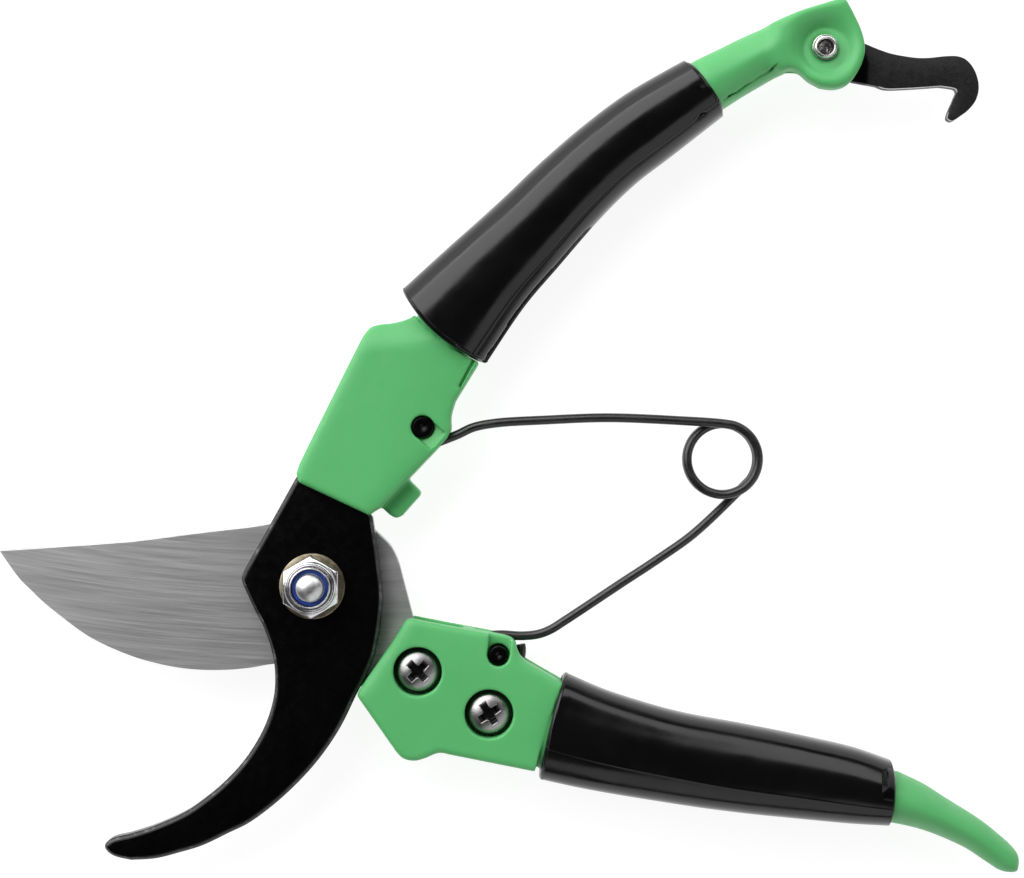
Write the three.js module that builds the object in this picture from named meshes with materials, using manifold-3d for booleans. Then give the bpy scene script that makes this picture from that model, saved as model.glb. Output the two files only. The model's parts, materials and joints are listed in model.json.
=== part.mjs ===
// Bypass pruning shears, lying open on their back. Millimetres, +Z up.
// The origin is on the pivot axis, at the flat underside of the pivot bolt's head.
// The hook blade's side and its nut face up (+Z); the two handles run towards +X.

import * as THREE from 'three';
import { mergeVertices } from 'three/addons/utils/BufferGeometryUtils.js';
import Module from 'manifold-3d';

const wasm = await Module();
wasm.setup();

// ---- driving dimensions -------------------------------------------------------------

const gap = 0.3;                     // clearance between neighbouring pieces
const midHeight = 8;                 // centre plane of the handles, the catch and the spring
const cutHigh = 20;                  // above everything but the pivot, where cuts may end

// Pivot stack, from the bolt head up.
const boltHeadHeight = 3.2;
const washerThickness = 1.2;
const bladeThickness = 3;
const hookThickness = 4;
const nutHeight = 6;
const hexHeight = 4;                 // the nut's hexagon; its round collar is above
const boltEndStandout = 1.3;
const pivotRadius = 3;               // M6
const hexAcrossFlats = 10;
const washerRadius = 6;

const rearWasherLow = boltHeadHeight + gap;
const bladeLow = rearWasherLow + washerThickness + gap;
const bladeHigh = bladeLow + bladeThickness;
const hookLow = bladeHigh + gap;
const hookHigh = hookLow + hookThickness;
const frontWasherLow = hookHigh + gap;
const nutLow = frontWasherLow + washerThickness + gap;
const nutHigh = nutLow + nutHeight;
const insertRadius = 3.5;
const insertHigh = nutHigh - 0.9;
const insertLow = insertHigh - 1.8;

// Handles and grips.
const blockLow = 1.8;
const blockHigh = 14.2;
const gripHalfHeight = 8;
const gripWall = 1.6;
const gripGrooveWall = 3.2;          // thicker wall on the side that faces the spring
const tailHalfHeight = 6.2;
const coreInset = gripWall + gap;
const coreGrooveInset = gripGrooveWall + gap;

// Spring.
const upperPinCentre = [20.1, 29.0];
const lowerPinCentre = [33.9, -12.6];
const coilCentre = [75.1, 23.1];
const coilRadius = 6.5;
const wireRadius = 0.84;
const coilPitch = 1.9;
const coilTurns = 2.39;
const upperEyeRadius = 3.5;
const upperPinRadius = 1.95;
const lowerPinRadius = 1.7;
const upperArmHeight = midHeight + coilPitch * coilTurns / 2;
const lowerArmHeight = midHeight - coilPitch * coilTurns / 2;
const wireSlot = 1.1;                // half height of the slots that the wire moves in
const upperEyeRoomRadius = 5.2;
const lowerEyeRoomRadius = 5.6;
const grooveRadius = 1.45;           // room that a closed arm takes in a handle
const pinLow = 2.7;
const pinBoreFloor = pinLow - gap;
const upperPinHigh = 13.2;
const lowerPinHigh = 12.9;
const upperPocketFloor = 12.5;
const lowerPocketFloor = 11.6;

// Travel.
const closingAngle = THREE.MathUtils.degToRad(59);
const upperArmRatio = 0.806;         // turn of the upper arm about its pin, per turn of the pivot
const coilRatio = -0.606;            // turn of the lower half of the coil against the upper half
const upperArmTravel = upperArmRatio * closingAngle;
const lowerArmTravel = (upperArmRatio + coilRatio - 1) * closingAngle;

// Closing stop on the upper handle, and the notch that it drops into.
const tabLow = 3.4;
const tabHigh = 9.8;
const heelSweepRadius = 18.1;        // room behind the hook side for the blade's heel

// Handle screws.
const screwCentres = [[19.2, -15.5], [32.2, -23.2]];
const screwHeadRadius = 3.65;
const screwShankRadius = 1.8;
const counterboreRadius = 4.45;
const screwHeadLow = 11.3;
const screwHeadHeight = 2.3;
const screwWasherThickness = 0.9;
const screwNutAcrossFlats = 7;
const screwNutThickness = 2.1;
const screwNutLow = blockLow + 0.2;

// Catch.
const catchPivot = [93.5, 98.2];
const catchThickness = 3;
const rivetRadius = 1.5;
const rivetFlangeRadius = 2.5;
const rivetRimRadius = 2.15;
const rivetBoreRadius = 1;
const rivetLow = 0.9;
const rivetRimLow = 13.2;
const rivetHigh = 14.1;
const dishFloor = 12.5;

// ---- helpers ------------------------------------------------------------------------

function signedVolume(positions, triangles) {
  let total = 0;
  for (let i = 0; i < triangles.length; i += 3) {
    const a = new THREE.Vector3().fromArray(positions, triangles[i] * 3);
    const b = new THREE.Vector3().fromArray(positions, triangles[i + 1] * 3);
    const c = new THREE.Vector3().fromArray(positions, triangles[i + 2] * 3);
    total += a.dot(b.cross(c));
  }
  return total / 6;
}

// Turns a closed geometry into a manifold solid.
function solid(source) {
  const bare = source.clone();
  for (const name of Object.keys(bare.attributes)) {
    if (name !== 'position') bare.deleteAttribute(name);
  }
  const merged = mergeVertices(bare, 1e-4);
  const positions = Float32Array.from(merged.attributes.position.array);
  const triangles = [];
  for (let i = 0; i < merged.index.count; i += 3) {
    const [a, b, c] = [merged.index.getX(i), merged.index.getX(i + 1), merged.index.getX(i + 2)];
    if (a !== b && b !== c && a !== c) triangles.push(a, b, c);
  }
  if (signedVolume(positions, triangles) < 0) {
    for (let i = 0; i < triangles.length; i += 3) {
      [triangles[i], triangles[i + 1]] = [triangles[i + 1], triangles[i]];
    }
  }
  const mesh = new wasm.Mesh({
    numProp: 3,
    vertProperties: positions,
    triVerts: Uint32Array.from(triangles),
  });
  return new wasm.Manifold(mesh);
}

function geometryOf(body) {
  const mesh = body.getMesh();
  const geometry = new THREE.BufferGeometry();
  geometry.setAttribute('position', new THREE.BufferAttribute(Float32Array.from(mesh.vertProperties), 3));
  geometry.setIndex(new THREE.BufferAttribute(Uint32Array.from(mesh.triVerts), 1));
  geometry.computeVertexNormals();
  return geometry;
}

// A flat outline: straight corners are [x, y], and a curve is { through: [[x, y], ...] }.
function outline(parts) {
  const shape = new THREE.Shape();
  const [first, ...rest] = parts;
  shape.moveTo(first[0], first[1]);
  for (const part of rest) {
    if (part.through) {
      shape.splineThru(part.through.map(([x, y]) => new THREE.Vector2(x, y)));
    } else {
      shape.lineTo(part[0], part[1]);
    }
  }
  return shape;
}

// A plate between two heights, with its edges broken by a small bevel.
function plate(shape, low, high, bevel = 0, curveSegments = 2) {
  const geometry = new THREE.ExtrudeGeometry(shape, {
    depth: high - low - 2 * bevel,
    steps: 1,
    curveSegments,
    bevelEnabled: bevel > 0,
    bevelThickness: bevel,
    bevelSize: bevel,
    bevelOffset: -bevel,
    bevelSegments: 1,
  });
  geometry.translate(0, 0, low + bevel);
  return solid(geometry);
}

// A round body about the vertical line through [x, y]; the profile is [radius, z] pairs.
function turned([x, y], profile, segments = 24) {
  const points = profile.map(([radius, z]) => new THREE.Vector2(radius, z));
  const geometry = new THREE.LatheGeometry(points, segments);
  geometry.rotateX(Math.PI / 2);
  geometry.translate(x, y, 0);
  return solid(geometry);
}

function rod(centre, radius, low, high, segments = 20) {
  return turned(centre, [[0, low], [radius, low], [radius, high], [0, high]], segments);
}

function ring(centre, innerRadius, outerRadius, low, high, segments = 24) {
  const profile = [[innerRadius, low], [outerRadius, low], [outerRadius, high], [innerRadius, high]];
  return turned(centre, [...profile, profile[0]], segments);
}

function hexagon([x, y], acrossFlats, turn = 0) {
  const shape = new THREE.Shape();
  for (let i = 0; i < 6; i += 1) {
    const angle = turn + i * Math.PI / 3;
    const radius = acrossFlats / Math.sqrt(3);
    const px = x + radius * Math.cos(angle);
    const py = y + radius * Math.sin(angle);
    if (i === 0) shape.moveTo(px, py);
    else shape.lineTo(px, py);
  }
  shape.closePath();
  return shape;
}

function wire(points, radius, steps, sides = 6) {
  const path = new THREE.CatmullRomCurve3(points, false, 'centripetal');
  const section = new THREE.Shape();
  for (let i = 0; i < sides; i += 1) {
    const angle = (i + 0.5) * 2 * Math.PI / sides;
    const x = radius * Math.cos(angle);
    const y = radius * Math.sin(angle);
    if (i === 0) section.moveTo(x, y);
    else section.lineTo(x, y);
  }
  section.closePath();
  return solid(new THREE.ExtrudeGeometry(section, { steps, extrudePath: path, bevelEnabled: false }));
}

function turnAbout([x, y], [centreX, centreY], angle) {
  const dx = x - centreX;
  const dy = y - centreY;
  return [
    centreX + dx * Math.cos(angle) - dy * Math.sin(angle),
    centreY + dx * Math.sin(angle) + dy * Math.cos(angle),
  ];
}

// A body swept along two rails in plan, each station being
// [outer x, outer y, inner x, inner y, half height, power], with superelliptic sections.
// inset.outer, inset.inner and inset.height shrink it, lengthen moves its two ends out, and
// round rounds its ends over that length. bow pushes the middle of the first end outwards.
function swept(stations, options = {}) {
  const { inset = {}, lengthen = [0, 0], round = [0, 0], bow = 0, sides = 16, divisions = 9 } = options;
  const outerRail = new THREE.SplineCurve(stations.map((s) => new THREE.Vector2(s[0], s[1])));
  const innerRail = new THREE.SplineCurve(stations.map((s) => new THREE.Vector2(s[2], s[3])));
  const section = new THREE.SplineCurve(stations.map((s) => new THREE.Vector2(s[4], s[5])));
  const middle = (t) => outerRail.getPoint(t).add(innerRail.getPoint(t)).multiplyScalar(0.5);
  const startWay = middle(0).sub(middle(0.02)).normalize();
  const endWay = middle(1).sub(middle(0.98)).normalize();
  // One flat ring at a square end, or a quarter round of rings, from the tip inwards.
  const endRings = (t, way, length, radius) => (radius > 0 ? [0, 40, 90] : [90]).map((degrees) => {
    const angle = THREE.MathUtils.degToRad(degrees);
    const shift = way.clone().multiplyScalar(length - radius * (1 - Math.cos(angle)));
    return { t, shift, shrink: radius * (1 - Math.sin(angle)) };
  });
  const places = endRings(0, startWay, lengthen[0], round[0]);
  for (let i = 1; i < divisions; i += 1) {
    places.push({ t: i / divisions, shift: new THREE.Vector2(), shrink: 0 });
  }
  places.push(...endRings(1, endWay, lengthen[1], round[1]).reverse());
  const positions = [];
  for (const { t, shift, shrink } of places) {
    const outer = outerRail.getPoint(t);
    const inner = innerRail.getPoint(t);
    const [halfHeight, power] = section.getPoint(t).toArray();
    const across = outer.clone().sub(inner).normalize();
    outer.addScaledVector(across, -(inset.outer ?? 0) - shrink);
    inner.addScaledVector(across, (inset.inner ?? 0) + shrink);
    const centre = outer.clone().add(inner).multiplyScalar(0.5).add(shift);
    const halfWidth = outer.distanceTo(inner) / 2;
    const height = halfHeight - (inset.height ?? 0) - shrink;
    for (let i = 0; i < sides; i += 1) {
      const angle = i * 2 * Math.PI / sides;
      const u = Math.sign(Math.cos(angle)) * Math.abs(Math.cos(angle)) ** (2 / power);
      const v = Math.sign(Math.sin(angle)) * Math.abs(Math.sin(angle)) ** (2 / power);
      const push = bow * (1 - u * u) * Math.max(0, 1 - 4 * t);
      positions.push(
        centre.x + across.x * halfWidth * u + startWay.x * push,
        centre.y + across.y * halfWidth * u + startWay.y * push,
        midHeight + height * v,
      );
    }
  }
  const rings = places.length;
  const index = [];
  for (let r = 0; r < rings - 1; r += 1) {
    for (let i = 0; i < sides; i += 1) {
      const a = r * sides + i;
      const b = r * sides + (i + 1) % sides;
      index.push(a, b, b + sides, a, b + sides, a + sides);
    }
  }
  for (const [start, flip] of [[0, true], [(rings - 1) * sides, false]]) {
    const centre = new THREE.Vector3();
    for (let i = 0; i < sides; i += 1) {
      centre.add(new THREE.Vector3().fromArray(positions, (start + i) * 3));
    }
    centre.divideScalar(sides);
    const hub = positions.length / 3;
    positions.push(centre.x, centre.y, centre.z);
    for (let i = 0; i < sides; i += 1) {
      const a = start + i;
      const b = start + (i + 1) % sides;
      index.push(...(flip ? [b, a, hub] : [a, b, hub]));
    }
  }
  const geometry = new THREE.BufferGeometry();
  geometry.setAttribute('position', new THREE.Float32BufferAttribute(positions, 3));
  geometry.setIndex(index);
  return solid(geometry);
}

function join(first, ...others) {
  return others.reduce((body, other) => body.add(other), first);
}

function cut(first, ...others) {
  return others.reduce((body, other) => body.subtract(other), first);
}

// ---- spring paths ---------------------------------------------------------------------

const upperArmPlan = [[26.4, 27.6], [29.2, 28.9], [33.2, 29.7], [42.8, 30.3], [54, 30.7], [66.7, 30.2]];
const lowerArmPlan = [
  [38.2, -9.6], [41.2, -9.3], [43.4, -8.5], [46.3, -6.7], [56.1, -0.2], [63.7, 4.8], [70, 9.3],
];
const coilStart = THREE.MathUtils.degToRad(88);
const coilSweep = coilTurns * 2 * Math.PI;
const coilStep = THREE.MathUtils.degToRad(20);

// The coil winds clockwise and down from the upper arm. part runs from 0 to 1 along it.
function coilPoint(part, height) {
  const angle = coilStart - coilSweep * part;
  return new THREE.Vector3(
    coilCentre[0] + coilRadius * Math.cos(angle),
    coilCentre[1] + coilRadius * Math.sin(angle),
    height,
  );
}

function coilStretch(from, to) {
  const count = Math.round((to - from) * coilSweep / coilStep);
  const points = [];
  for (let i = 0; i <= count; i += 1) {
    const part = from + (to - from) * i / count;
    points.push(coilPoint(part, upperArmHeight + (lowerArmHeight - upperArmHeight) * part));
  }
  return points;
}

function eyePoints([x, y], radius, fromDegrees, toDegrees, height) {
  const count = 12;
  const points = [];
  for (let i = 0; i <= count; i += 1) {
    const angle = THREE.MathUtils.degToRad(fromDegrees + (toDegrees - fromDegrees) * i / count);
    points.push(new THREE.Vector3(x + radius * Math.cos(angle), y + radius * Math.sin(angle), height));
  }
  return points;
}

// The lower eye hugs its pin and opens out into a free end: pairs of angle and distance.
const lowerEyeTurns = [
  [80, 3.25], [110, 3.25], [140, 3.25], [170, 3.25], [200, 3.25], [230, 3.25],
  [255, 3.3], [280, 3.45], [300, 3.7], [318, 4.0], [334, 4.2], [350, 4.2], [368, 4.3], [380, 4.4],
];

function lowerEyePoints() {
  const [x, y] = lowerPinCentre;
  return lowerEyeTurns.map(([degrees, distance]) => {
    const angle = THREE.MathUtils.degToRad(degrees);
    return new THREE.Vector3(x + distance * Math.cos(angle), y + distance * Math.sin(angle), lowerArmHeight);
  });
}

function armPoints(plan, height) {
  return plan.map(([x, y]) => new THREE.Vector3(x, y, height));
}

const splitGapPart = gap / (2 * coilRadius * coilSweep);

function upperWirePoints() {
  return [
    ...eyePoints(upperPinCentre, upperEyeRadius, 5, 292, upperArmHeight),
    ...armPoints(upperArmPlan, upperArmHeight),
    ...coilStretch(0, 0.5 - splitGapPart),
  ];
}

function lowerWirePoints() {
  return [
    ...coilStretch(0.5 + splitGapPart, 1),
    ...armPoints(lowerArmPlan, lowerArmHeight).reverse(),
    ...lowerEyePoints(),
  ];
}

// ---- blades ----------------------------------------------------------------------------

function hookBlade() {
  const shape = outline([
    [-3.2, 19.5],
    [-7.8, 11.2],
    [-12.5, 2.9],
    { through: [[-13.0, 1.2], [-12.4, -0.5]] },
    { through: [[-10.8, -4.0], [-9.0, -7.5], [-7.5, -11.9], [-6.9, -16.0], [-7.2, -20.6]] },
    { through: [[-8.9, -25.9], [-12.1, -31.3], [-16.2, -35.9], [-20.7, -39.6], [-24.2, -41.8]] },
    { through: [[-29.3, -44.0], [-33.7, -45.4]] },
    { through: [[-36.6, -46.1], [-37.9, -47.2], [-37.7, -48.3], [-36.2, -49.4], [-33.2, -50.1]] },
    { through: [[-28.7, -49.8], [-24.3, -48.7], [-20.1, -47.4], [-15.5, -45.2], [-11.5, -43.2]] },
    { through: [[-6.8, -39.7], [-2.2, -35.4], [1.6, -31.0], [5.0, -25.9], [7.8, -20.2]] },
    { through: [[11.6, -11.3], [12.7, -3.0], [12.1, 4.2], [10.9, 12.5]] },
    [9.6, 14.6],
    [11.2, 20],
    [12.4, 28],
    [14.4, 36],
    [12.2, 38.5],
    [7.6, 36.4],
    [0.2, 21.1],
    [-2.8, 20.1],
  ]);
  return cut(plate(shape, hookLow, hookHigh, 0.35), rod([0, 0], pivotRadius + gap, 0, cutHigh));
}

// The cutting edge is ground from the back, so the back outline is set in along the edge.
function cuttingBlade() {
  const spine = [[-45.9, 7.1], [-33.8, 8.0], [-21.8, 9.5], [-8.6, 11.2], [-1, 13.6], [6, 13.2], [11.1, 10.1]];
  const heel = [[12.8, 8.5], [14.2, 6.9], [15.5, 4.1], [16.6, 0], [18.1, -5.7]];
  const tang = [[18.3, -10.6], [38.2, -22], [40.4, -25.4], [37.5, -28.4], [31, -28.4], [15.4, -21.6]];
  const hidden = [[8, -16.4], [0, -14.2]];
  const edge = [
    [-7.4, -14.6], [-11.7, -15.3], [-16.1, -15.7], [-20.5, -15.7], [-25.0, -15.3], [-29.4, -14.4],
    [-33.8, -13.1], [-39.0, -10.9], [-42.7, -8.8], [-47.1, -5.5], [-49.8, -3.3], [-52.0, -1.2], [-54.3, 1.1],
    [-56.3, 3.8],
  ];
  const tip = [-58.0, 6.3];
  const body = outline([tip, { through: spine }, { through: heel }, ...tang, ...hidden, { through: edge }]);
  const grindDepth = 3.4;
  const grindFrom = bladeLow + 0.6;
  const centre = new THREE.Vector2(-26, 2);
  const edgeLine = [...edge, tip].map(([x, y]) => new THREE.Vector2(x, y));
  const inward = edgeLine.map((point, i) => {
    const before = edgeLine[Math.max(0, i - 1)];
    const after = edgeLine[Math.min(edgeLine.length - 1, i + 1)];
    const along = after.clone().sub(before).normalize();
    const normal = new THREE.Vector2(-along.y, along.x);
    if (normal.dot(centre.clone().sub(point)) < 0) normal.negate();
    return normal;
  });
  // A wedge-shaped strip under the ground edge, taken off the plate.
  const positions = [];
  const index = [];
  const reaches = [-2, -0.02, grindDepth];
  const heights = [bladeLow - 2, bladeHigh - 0.25, grindFrom - 0.6];
  edgeLine.forEach((point, i) => {
    const fade = Math.min(1, 0.2 + 0.4 * i);
    reaches.forEach((into, j) => {
      const reach = into > 0 ? into * fade : into;
      const place = point.clone().addScaledVector(inward[i], reach);
      positions.push(place.x, place.y, heights[j]);
    });
  });
  for (let i = 0; i < edgeLine.length - 1; i += 1) {
    for (let j = 0; j < 3; j += 1) {
      const a = i * 3 + j;
      const b = i * 3 + (j + 1) % 3;
      index.push(a, b, b + 3, a, b + 3, a + 3);
    }
  }
  const last = (edgeLine.length - 1) * 3;
  index.push(2, 1, 0, last, last + 1, last + 2);
  const strip = new THREE.BufferGeometry();
  strip.setAttribute('position', new THREE.Float32BufferAttribute(positions, 3));
  strip.setIndex(index);
  const holes = screwCentres.map((place) => rod(place, screwShankRadius + gap, 0, cutHigh));
  const bore = rod([0, 0], pivotRadius + gap, 0, cutHigh);
  return cut(plate(body, bladeLow, bladeHigh), bore, solid(strip), ...holes);
}

// ---- handles ---------------------------------------------------------------------------

const upperGripStations = [
  [16.0, 54.1, 31.5, 40.5, gripHalfHeight, 2.6],
  [24.1, 61.5, 38.5, 50.9, gripHalfHeight, 2.5],
  [33.8, 70.2, 45.1, 58.7, gripHalfHeight, 2.4],
  [41.8, 77.8, 52.4, 67.1, gripHalfHeight, 2.4],
  [49.7, 84.6, 59.0, 73.6, gripHalfHeight, 2.4],
  [57.7, 90.5, 66.1, 79.1, gripHalfHeight, 2.4],
  [67.9, 96.3, 75.3, 86.3, gripHalfHeight, 2.4],
];
const lowerGripStations = [
  [45.9, -16.0, 41.2, -35.6, gripHalfHeight, 2.6],
  [54.4, -19.6, 50.5, -37.6, gripHalfHeight, 2.5],
  [66.5, -23.2, 63.5, -39.8, gripHalfHeight, 2.4],
  [78.5, -25.5, 76.0, -41.6, gripHalfHeight, 2.4],
  [90.5, -27.9, 88.6, -42.9, gripHalfHeight, 2.4],
  [99.5, -30.0, 98.4, -43.8, gripHalfHeight, 2.4],
  [106.2, -32.3, 105.6, -44.2, gripHalfHeight, 2.4],
];
const upperTailStations = [
  [69.3, 96.3, 75.7, 87.3, 7.2, 2.2],
  [76.4, 99.8, 80.6, 90.5, tailHalfHeight, 2],
  [83.7, 102.9, 85.6, 93.8, tailHalfHeight, 2],
  [90.5, 105.6, 90.0, 94.8, 5.8, 2.4],
];
const lowerTailStations = [
  [106.6, -34.3, 105.6, -43.6, 7.0, 1.9],
  [111.5, -36.4, 109.3, -44.4, 6.6, 1.8],
  [117.0, -39.7, 113.7, -45.7, 5.6, 1.7],
  [122.5, -43.2, 118.9, -47.9, 4.8, 1.7],
  [126.3, -46.2, 122.7, -50.3, 4.2, 1.7],
  [128.9, -48.7, 125.4, -52.1, 3.7, 1.8],
  [130.0, -50.9, 127.4, -53.3, 3.2, 2.0],
];
const envelopeGap = gap + 0.15;
const gripBow = [1.85, 0.4];          // how far the middle of each grip's near end stands out

function sleeve(stations, bow, springSide) {
  const outer = swept(stations, { sides: 20, divisions: 10, round: [1, 1.4], bow });
  const hollow = swept(stations, {
    divisions: 10,
    inset: {
      outer: springSide === 'inner' ? gripWall : gripGrooveWall,
      inner: springSide === 'inner' ? gripGrooveWall : gripWall,
      height: gripWall,
    },
    lengthen: [4, 4],
  });
  return cut(outer, hollow);
}

function core(stations, springSide, ends) {
  return swept(stations, {
    inset: {
      outer: springSide === 'inner' ? coreInset : coreGrooveInset,
      inner: springSide === 'inner' ? coreGrooveInset : coreInset,
      height: coreInset,
    },
    lengthen: ends,
  });
}

// The core runs inside the sleeve, and reaches out of it only where the block covers it.
function neckCore(stations, springSide, block) {
  return join(
    core(stations, springSide, [0, 2]),
    core(stations, springSide, [4, 2]).intersect(block),
  );
}

function envelope(stations, bow) {
  return swept(stations, {
    sides: 20,
    divisions: 10,
    bow,
    inset: { outer: -envelopeGap, inner: -envelopeGap, height: -envelopeGap },
    lengthen: [envelopeGap, envelopeGap],
  });
}

// The room that a closed arm takes in the spring side of a handle.
function armGroove(plan, pivot, angle, height, radius, steps) {
  const points = plan.map((place) => turnAbout(place, pivot, angle));
  return wire(points.map(([x, y]) => new THREE.Vector3(x, y, height)), radius, steps);
}

const grooveMouth = THREE.MathUtils.degToRad(2.5);

function upperGrooves() {
  const plan = [[24.4, 27.2], ...upperArmPlan];
  return join(...[0, grooveMouth].map((back) => (
    armGroove(plan, upperPinCentre, upperArmTravel - back, upperArmHeight, grooveRadius, 18)
  )));
}

function lowerGrooves() {
  const plan = [[35.4, -9.4], ...lowerArmPlan, [79.1, 18]];
  return join(...[0, grooveMouth].map((back) => (
    armGroove(plan, lowerPinCentre, lowerArmTravel + back, lowerArmHeight, grooveRadius, 28)
  )));
}

function upperHandle() {
  const block = plate(outline([
    [-2.9, 20.5],
    [-2.4, 18.9],
    [10.4, 12.9],
    [12.4, 14.2],
    [24.5, 26.9],
    { through: [[25.2, 28.5], [25.2, 31.0], [26.0, 33.8]] },
    [30.0, 40.3],
    [31.6, 43.4],
    [22.5, 53],
    [18.9, 49.7],
    { through: [[17.5, 48.9], [15.8, 48.3], [14.1, 47.9], [12.2, 47.7], [10.5, 47.1], [9.3, 45.6]] },
    [6.9, 40.9],
    [-0.5, 26.0],
    [-2.4, 22.2],
  ]), blockLow, blockHigh, 0.9, 2);
  const tab = plate(outline([
    [15.6, 20.6],
    [17.4, 19.3],
    [19.3, 17.4],
    { through: [[19.6, 16.9], [19.4, 16.3]] },
    [16.2, 12.7],
    { through: [[15.1, 12.3], [13.9, 12.9]] },
    [12.4, 14.3],
    [10.4, 17],
  ]), tabLow, tabHigh, 0.5, 2);
  const neck = neckCore(upperGripStations, 'inner', block);
  const tail = swept(upperTailStations, { divisions: 6, lengthen: [0, 2] });
  const boss = plate(outline([
    [84.0, 102.6],
    { through: [[86.0, 103.6], [89.8, 105.3], [93.4, 106.4]] },
    [95.6, 107.1],
    { through: [[96.9, 107.2], [97.7, 106.5]] },
    [98.9, 104.2],
    { through: [[100.0, 101.8], [100.7, 99.2], [100.7, 96.9], [99.7, 94.3], [97.9, 92.2], [95.4, 91.3]] },
    { through: [[92.8, 91.6], [90.6, 92.8], [89.0, 94.0], [87.4, 94.4], [85.6, 94.0]] },
    [84.0, 95.0],
  ]), midHeight, blockHigh - 0.2, 0.9, 2);
  const lowerFlange = plate(outline([
    [85.0, 101.8],
    [90.2, 104.1],
    [96.4, 105.9],
    [98.0, 103.4],
    { through: [[99.0, 101.2], [99.4, 98.2], [98.4, 94.8], [95.2, 92.6]] },
    { through: [[93.1, 92.9], [90.6, 94.5], [87.6, 95.7]] },
    [85.0, 96.0],
  ]), blockLow + 0.4, midHeight, 0.9, 2);
  const hookTang = plate(outline([
    [-12, 5],
    [13.5, -6],
    [11.8, 14.2],
    [10.0, 14.9],
    [11.55, 20],
    [12.75, 28],
    [14.85, 36.1],
    [12.35, 38.95],
    [7.4, 36.75],
    [-0.6, 21.4],
    [-4.6, 20.6],
  ]), hookLow - gap, hookHigh + gap);
  const heelRoom = rod([0, 0], heelSweepRadius, 0, bladeHigh + gap / 2, 40);
  const pinBore = rod(upperPinCentre, upperPinRadius + gap, pinBoreFloor, cutHigh);
  const pocket = plate(outline([
    [18.6, 30.7],
    [18.5, 27.5],
    [21.35, 24.9],
    [24.4, 28.0],
    [21.6, 30.7],
  ]), upperPocketFloor, cutHigh);
  const slotLow = upperArmHeight - wireSlot;
  const slotHigh = upperArmHeight + wireSlot;
  const eyeRoom = rod(upperPinCentre, upperEyeRoomRadius, slotLow, slotHigh);
  const armRoom = plate(outline([
    [20.1, 23.8],
    [24, 22],
    [33, 30],
    [34, 47],
    [29.6, 45.2],
    [26.6, 39.8],
    [23.6, 34.4],
  ]), slotLow, slotHigh);
  const catchSlot = plate(outline([
    [85.9, 88.0],
    [86.9, 96.8],
    [89.4, 102.8],
    [93.5, 104.6],
    [104, 104],
    [104, 84],
  ]), midHeight - catchThickness / 2 - gap, midHeight + catchThickness / 2 + gap);
  const rivetBore = rod(catchPivot, rivetRadius + gap, 0, cutHigh);
  const dishTop = dishFloor + 2.5;
  const dish = turned(catchPivot, [[0, dishFloor], [4.6, dishFloor], [6.2, dishTop], [0, dishTop]], 20);
  return cut(
    join(cut(block, envelope(upperGripStations, gripBow[0])), tab, neck, tail, boss, lowerFlange),
    hookTang,
    heelRoom,
    pinBore,
    pocket,
    eyeRoom,
    armRoom,
    upperGrooves(),
    catchSlot,
    rivetBore,
    dish,
  );
}

function lowerHandle() {
  const block = plate(outline([
    [8.6, -19.7],
    [15.0, -9.5],
    [16.5, -6.9],
    { through: [[17.3, -6.1], [18.4, -5.9]] },
    [35.1, -9.2],
    { through: [[36.7, -10.1], [37.5, -12.1], [39.0, -13.9]] },
    [47.4, -18.8],
    [44, -34.4],
    [41.2, -33.9],
    [25.1, -30.7],
    { through: [[23.0, -30.4], [20.4, -31.4], [18.5, -31.8], [16.6, -31.4], [15.3, -30.2]] },
  ]), blockLow, blockHigh, 0.9, 2);
  const neck = neckCore(lowerGripStations, 'outer', block);
  const tail = swept(lowerTailStations, { divisions: 9, round: [0, 1.4], lengthen: [0, 0.6] });
  const bladeTang = plate(outline([
    [0, 0],
    [18.5, -5.0],
    [18.65, -10.4],
    [38.4, -21.7],
    [40.8, -25.4],
    [37.65, -28.7],
    [30.9, -28.7],
    [15.2, -21.9],
    [7, -17.5],
    [0, -15],
  ]), bladeLow - gap, bladeHigh + gap);
  const slotLow = lowerArmHeight - wireSlot;
  const slotHigh = lowerArmHeight + wireSlot;
  const eyeRoom = rod(lowerPinCentre, lowerEyeRoomRadius, slotLow, slotHigh);
  const armRoom = plate(outline([
    [29.5, -10],
    [30, 0],
    [60, 0],
    [60, -19.2],
    [50, -19.2],
    [46.2, -18.3],
    [41.5, -16.7],
    [37, -15.5],
  ]), slotLow, slotHigh);
  const pinBore = rod(lowerPinCentre, lowerPinRadius + gap, pinBoreFloor, cutHigh);
  const pocket = plate(outline([
    [31.9, -12.6],
    [32.4, -7.0],
    [36.6, -7.0],
    [35.9, -12.6],
  ]), lowerPocketFloor, cutHigh);
  const stopNotch = plate(outline([
    [14, -4],
    [16.2, -8.6],
    [27, -10.8],
    [27.6, -4],
  ]), tabLow - gap, tabHigh + gap);
  const screwRooms = screwCentres.map((place) => join(
    rod(place, counterboreRadius, screwHeadLow - screwWasherThickness - 2 * gap, cutHigh),
    rod(place, screwShankRadius + gap, 0, cutHigh),
    plate(hexagon(place, screwNutAcrossFlats + 2 * gap), 0, screwNutLow + screwNutThickness + gap),
  ));
  return cut(
    join(cut(block, envelope(lowerGripStations, gripBow[1])), neck, tail),
    bladeTang,
    eyeRoom,
    armRoom,
    pinBore,
    pocket,
    stopNotch,
    lowerGrooves(),
    ...screwRooms,
  );
}

// ---- pivot and fasteners -----------------------------------------------------------------

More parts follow.
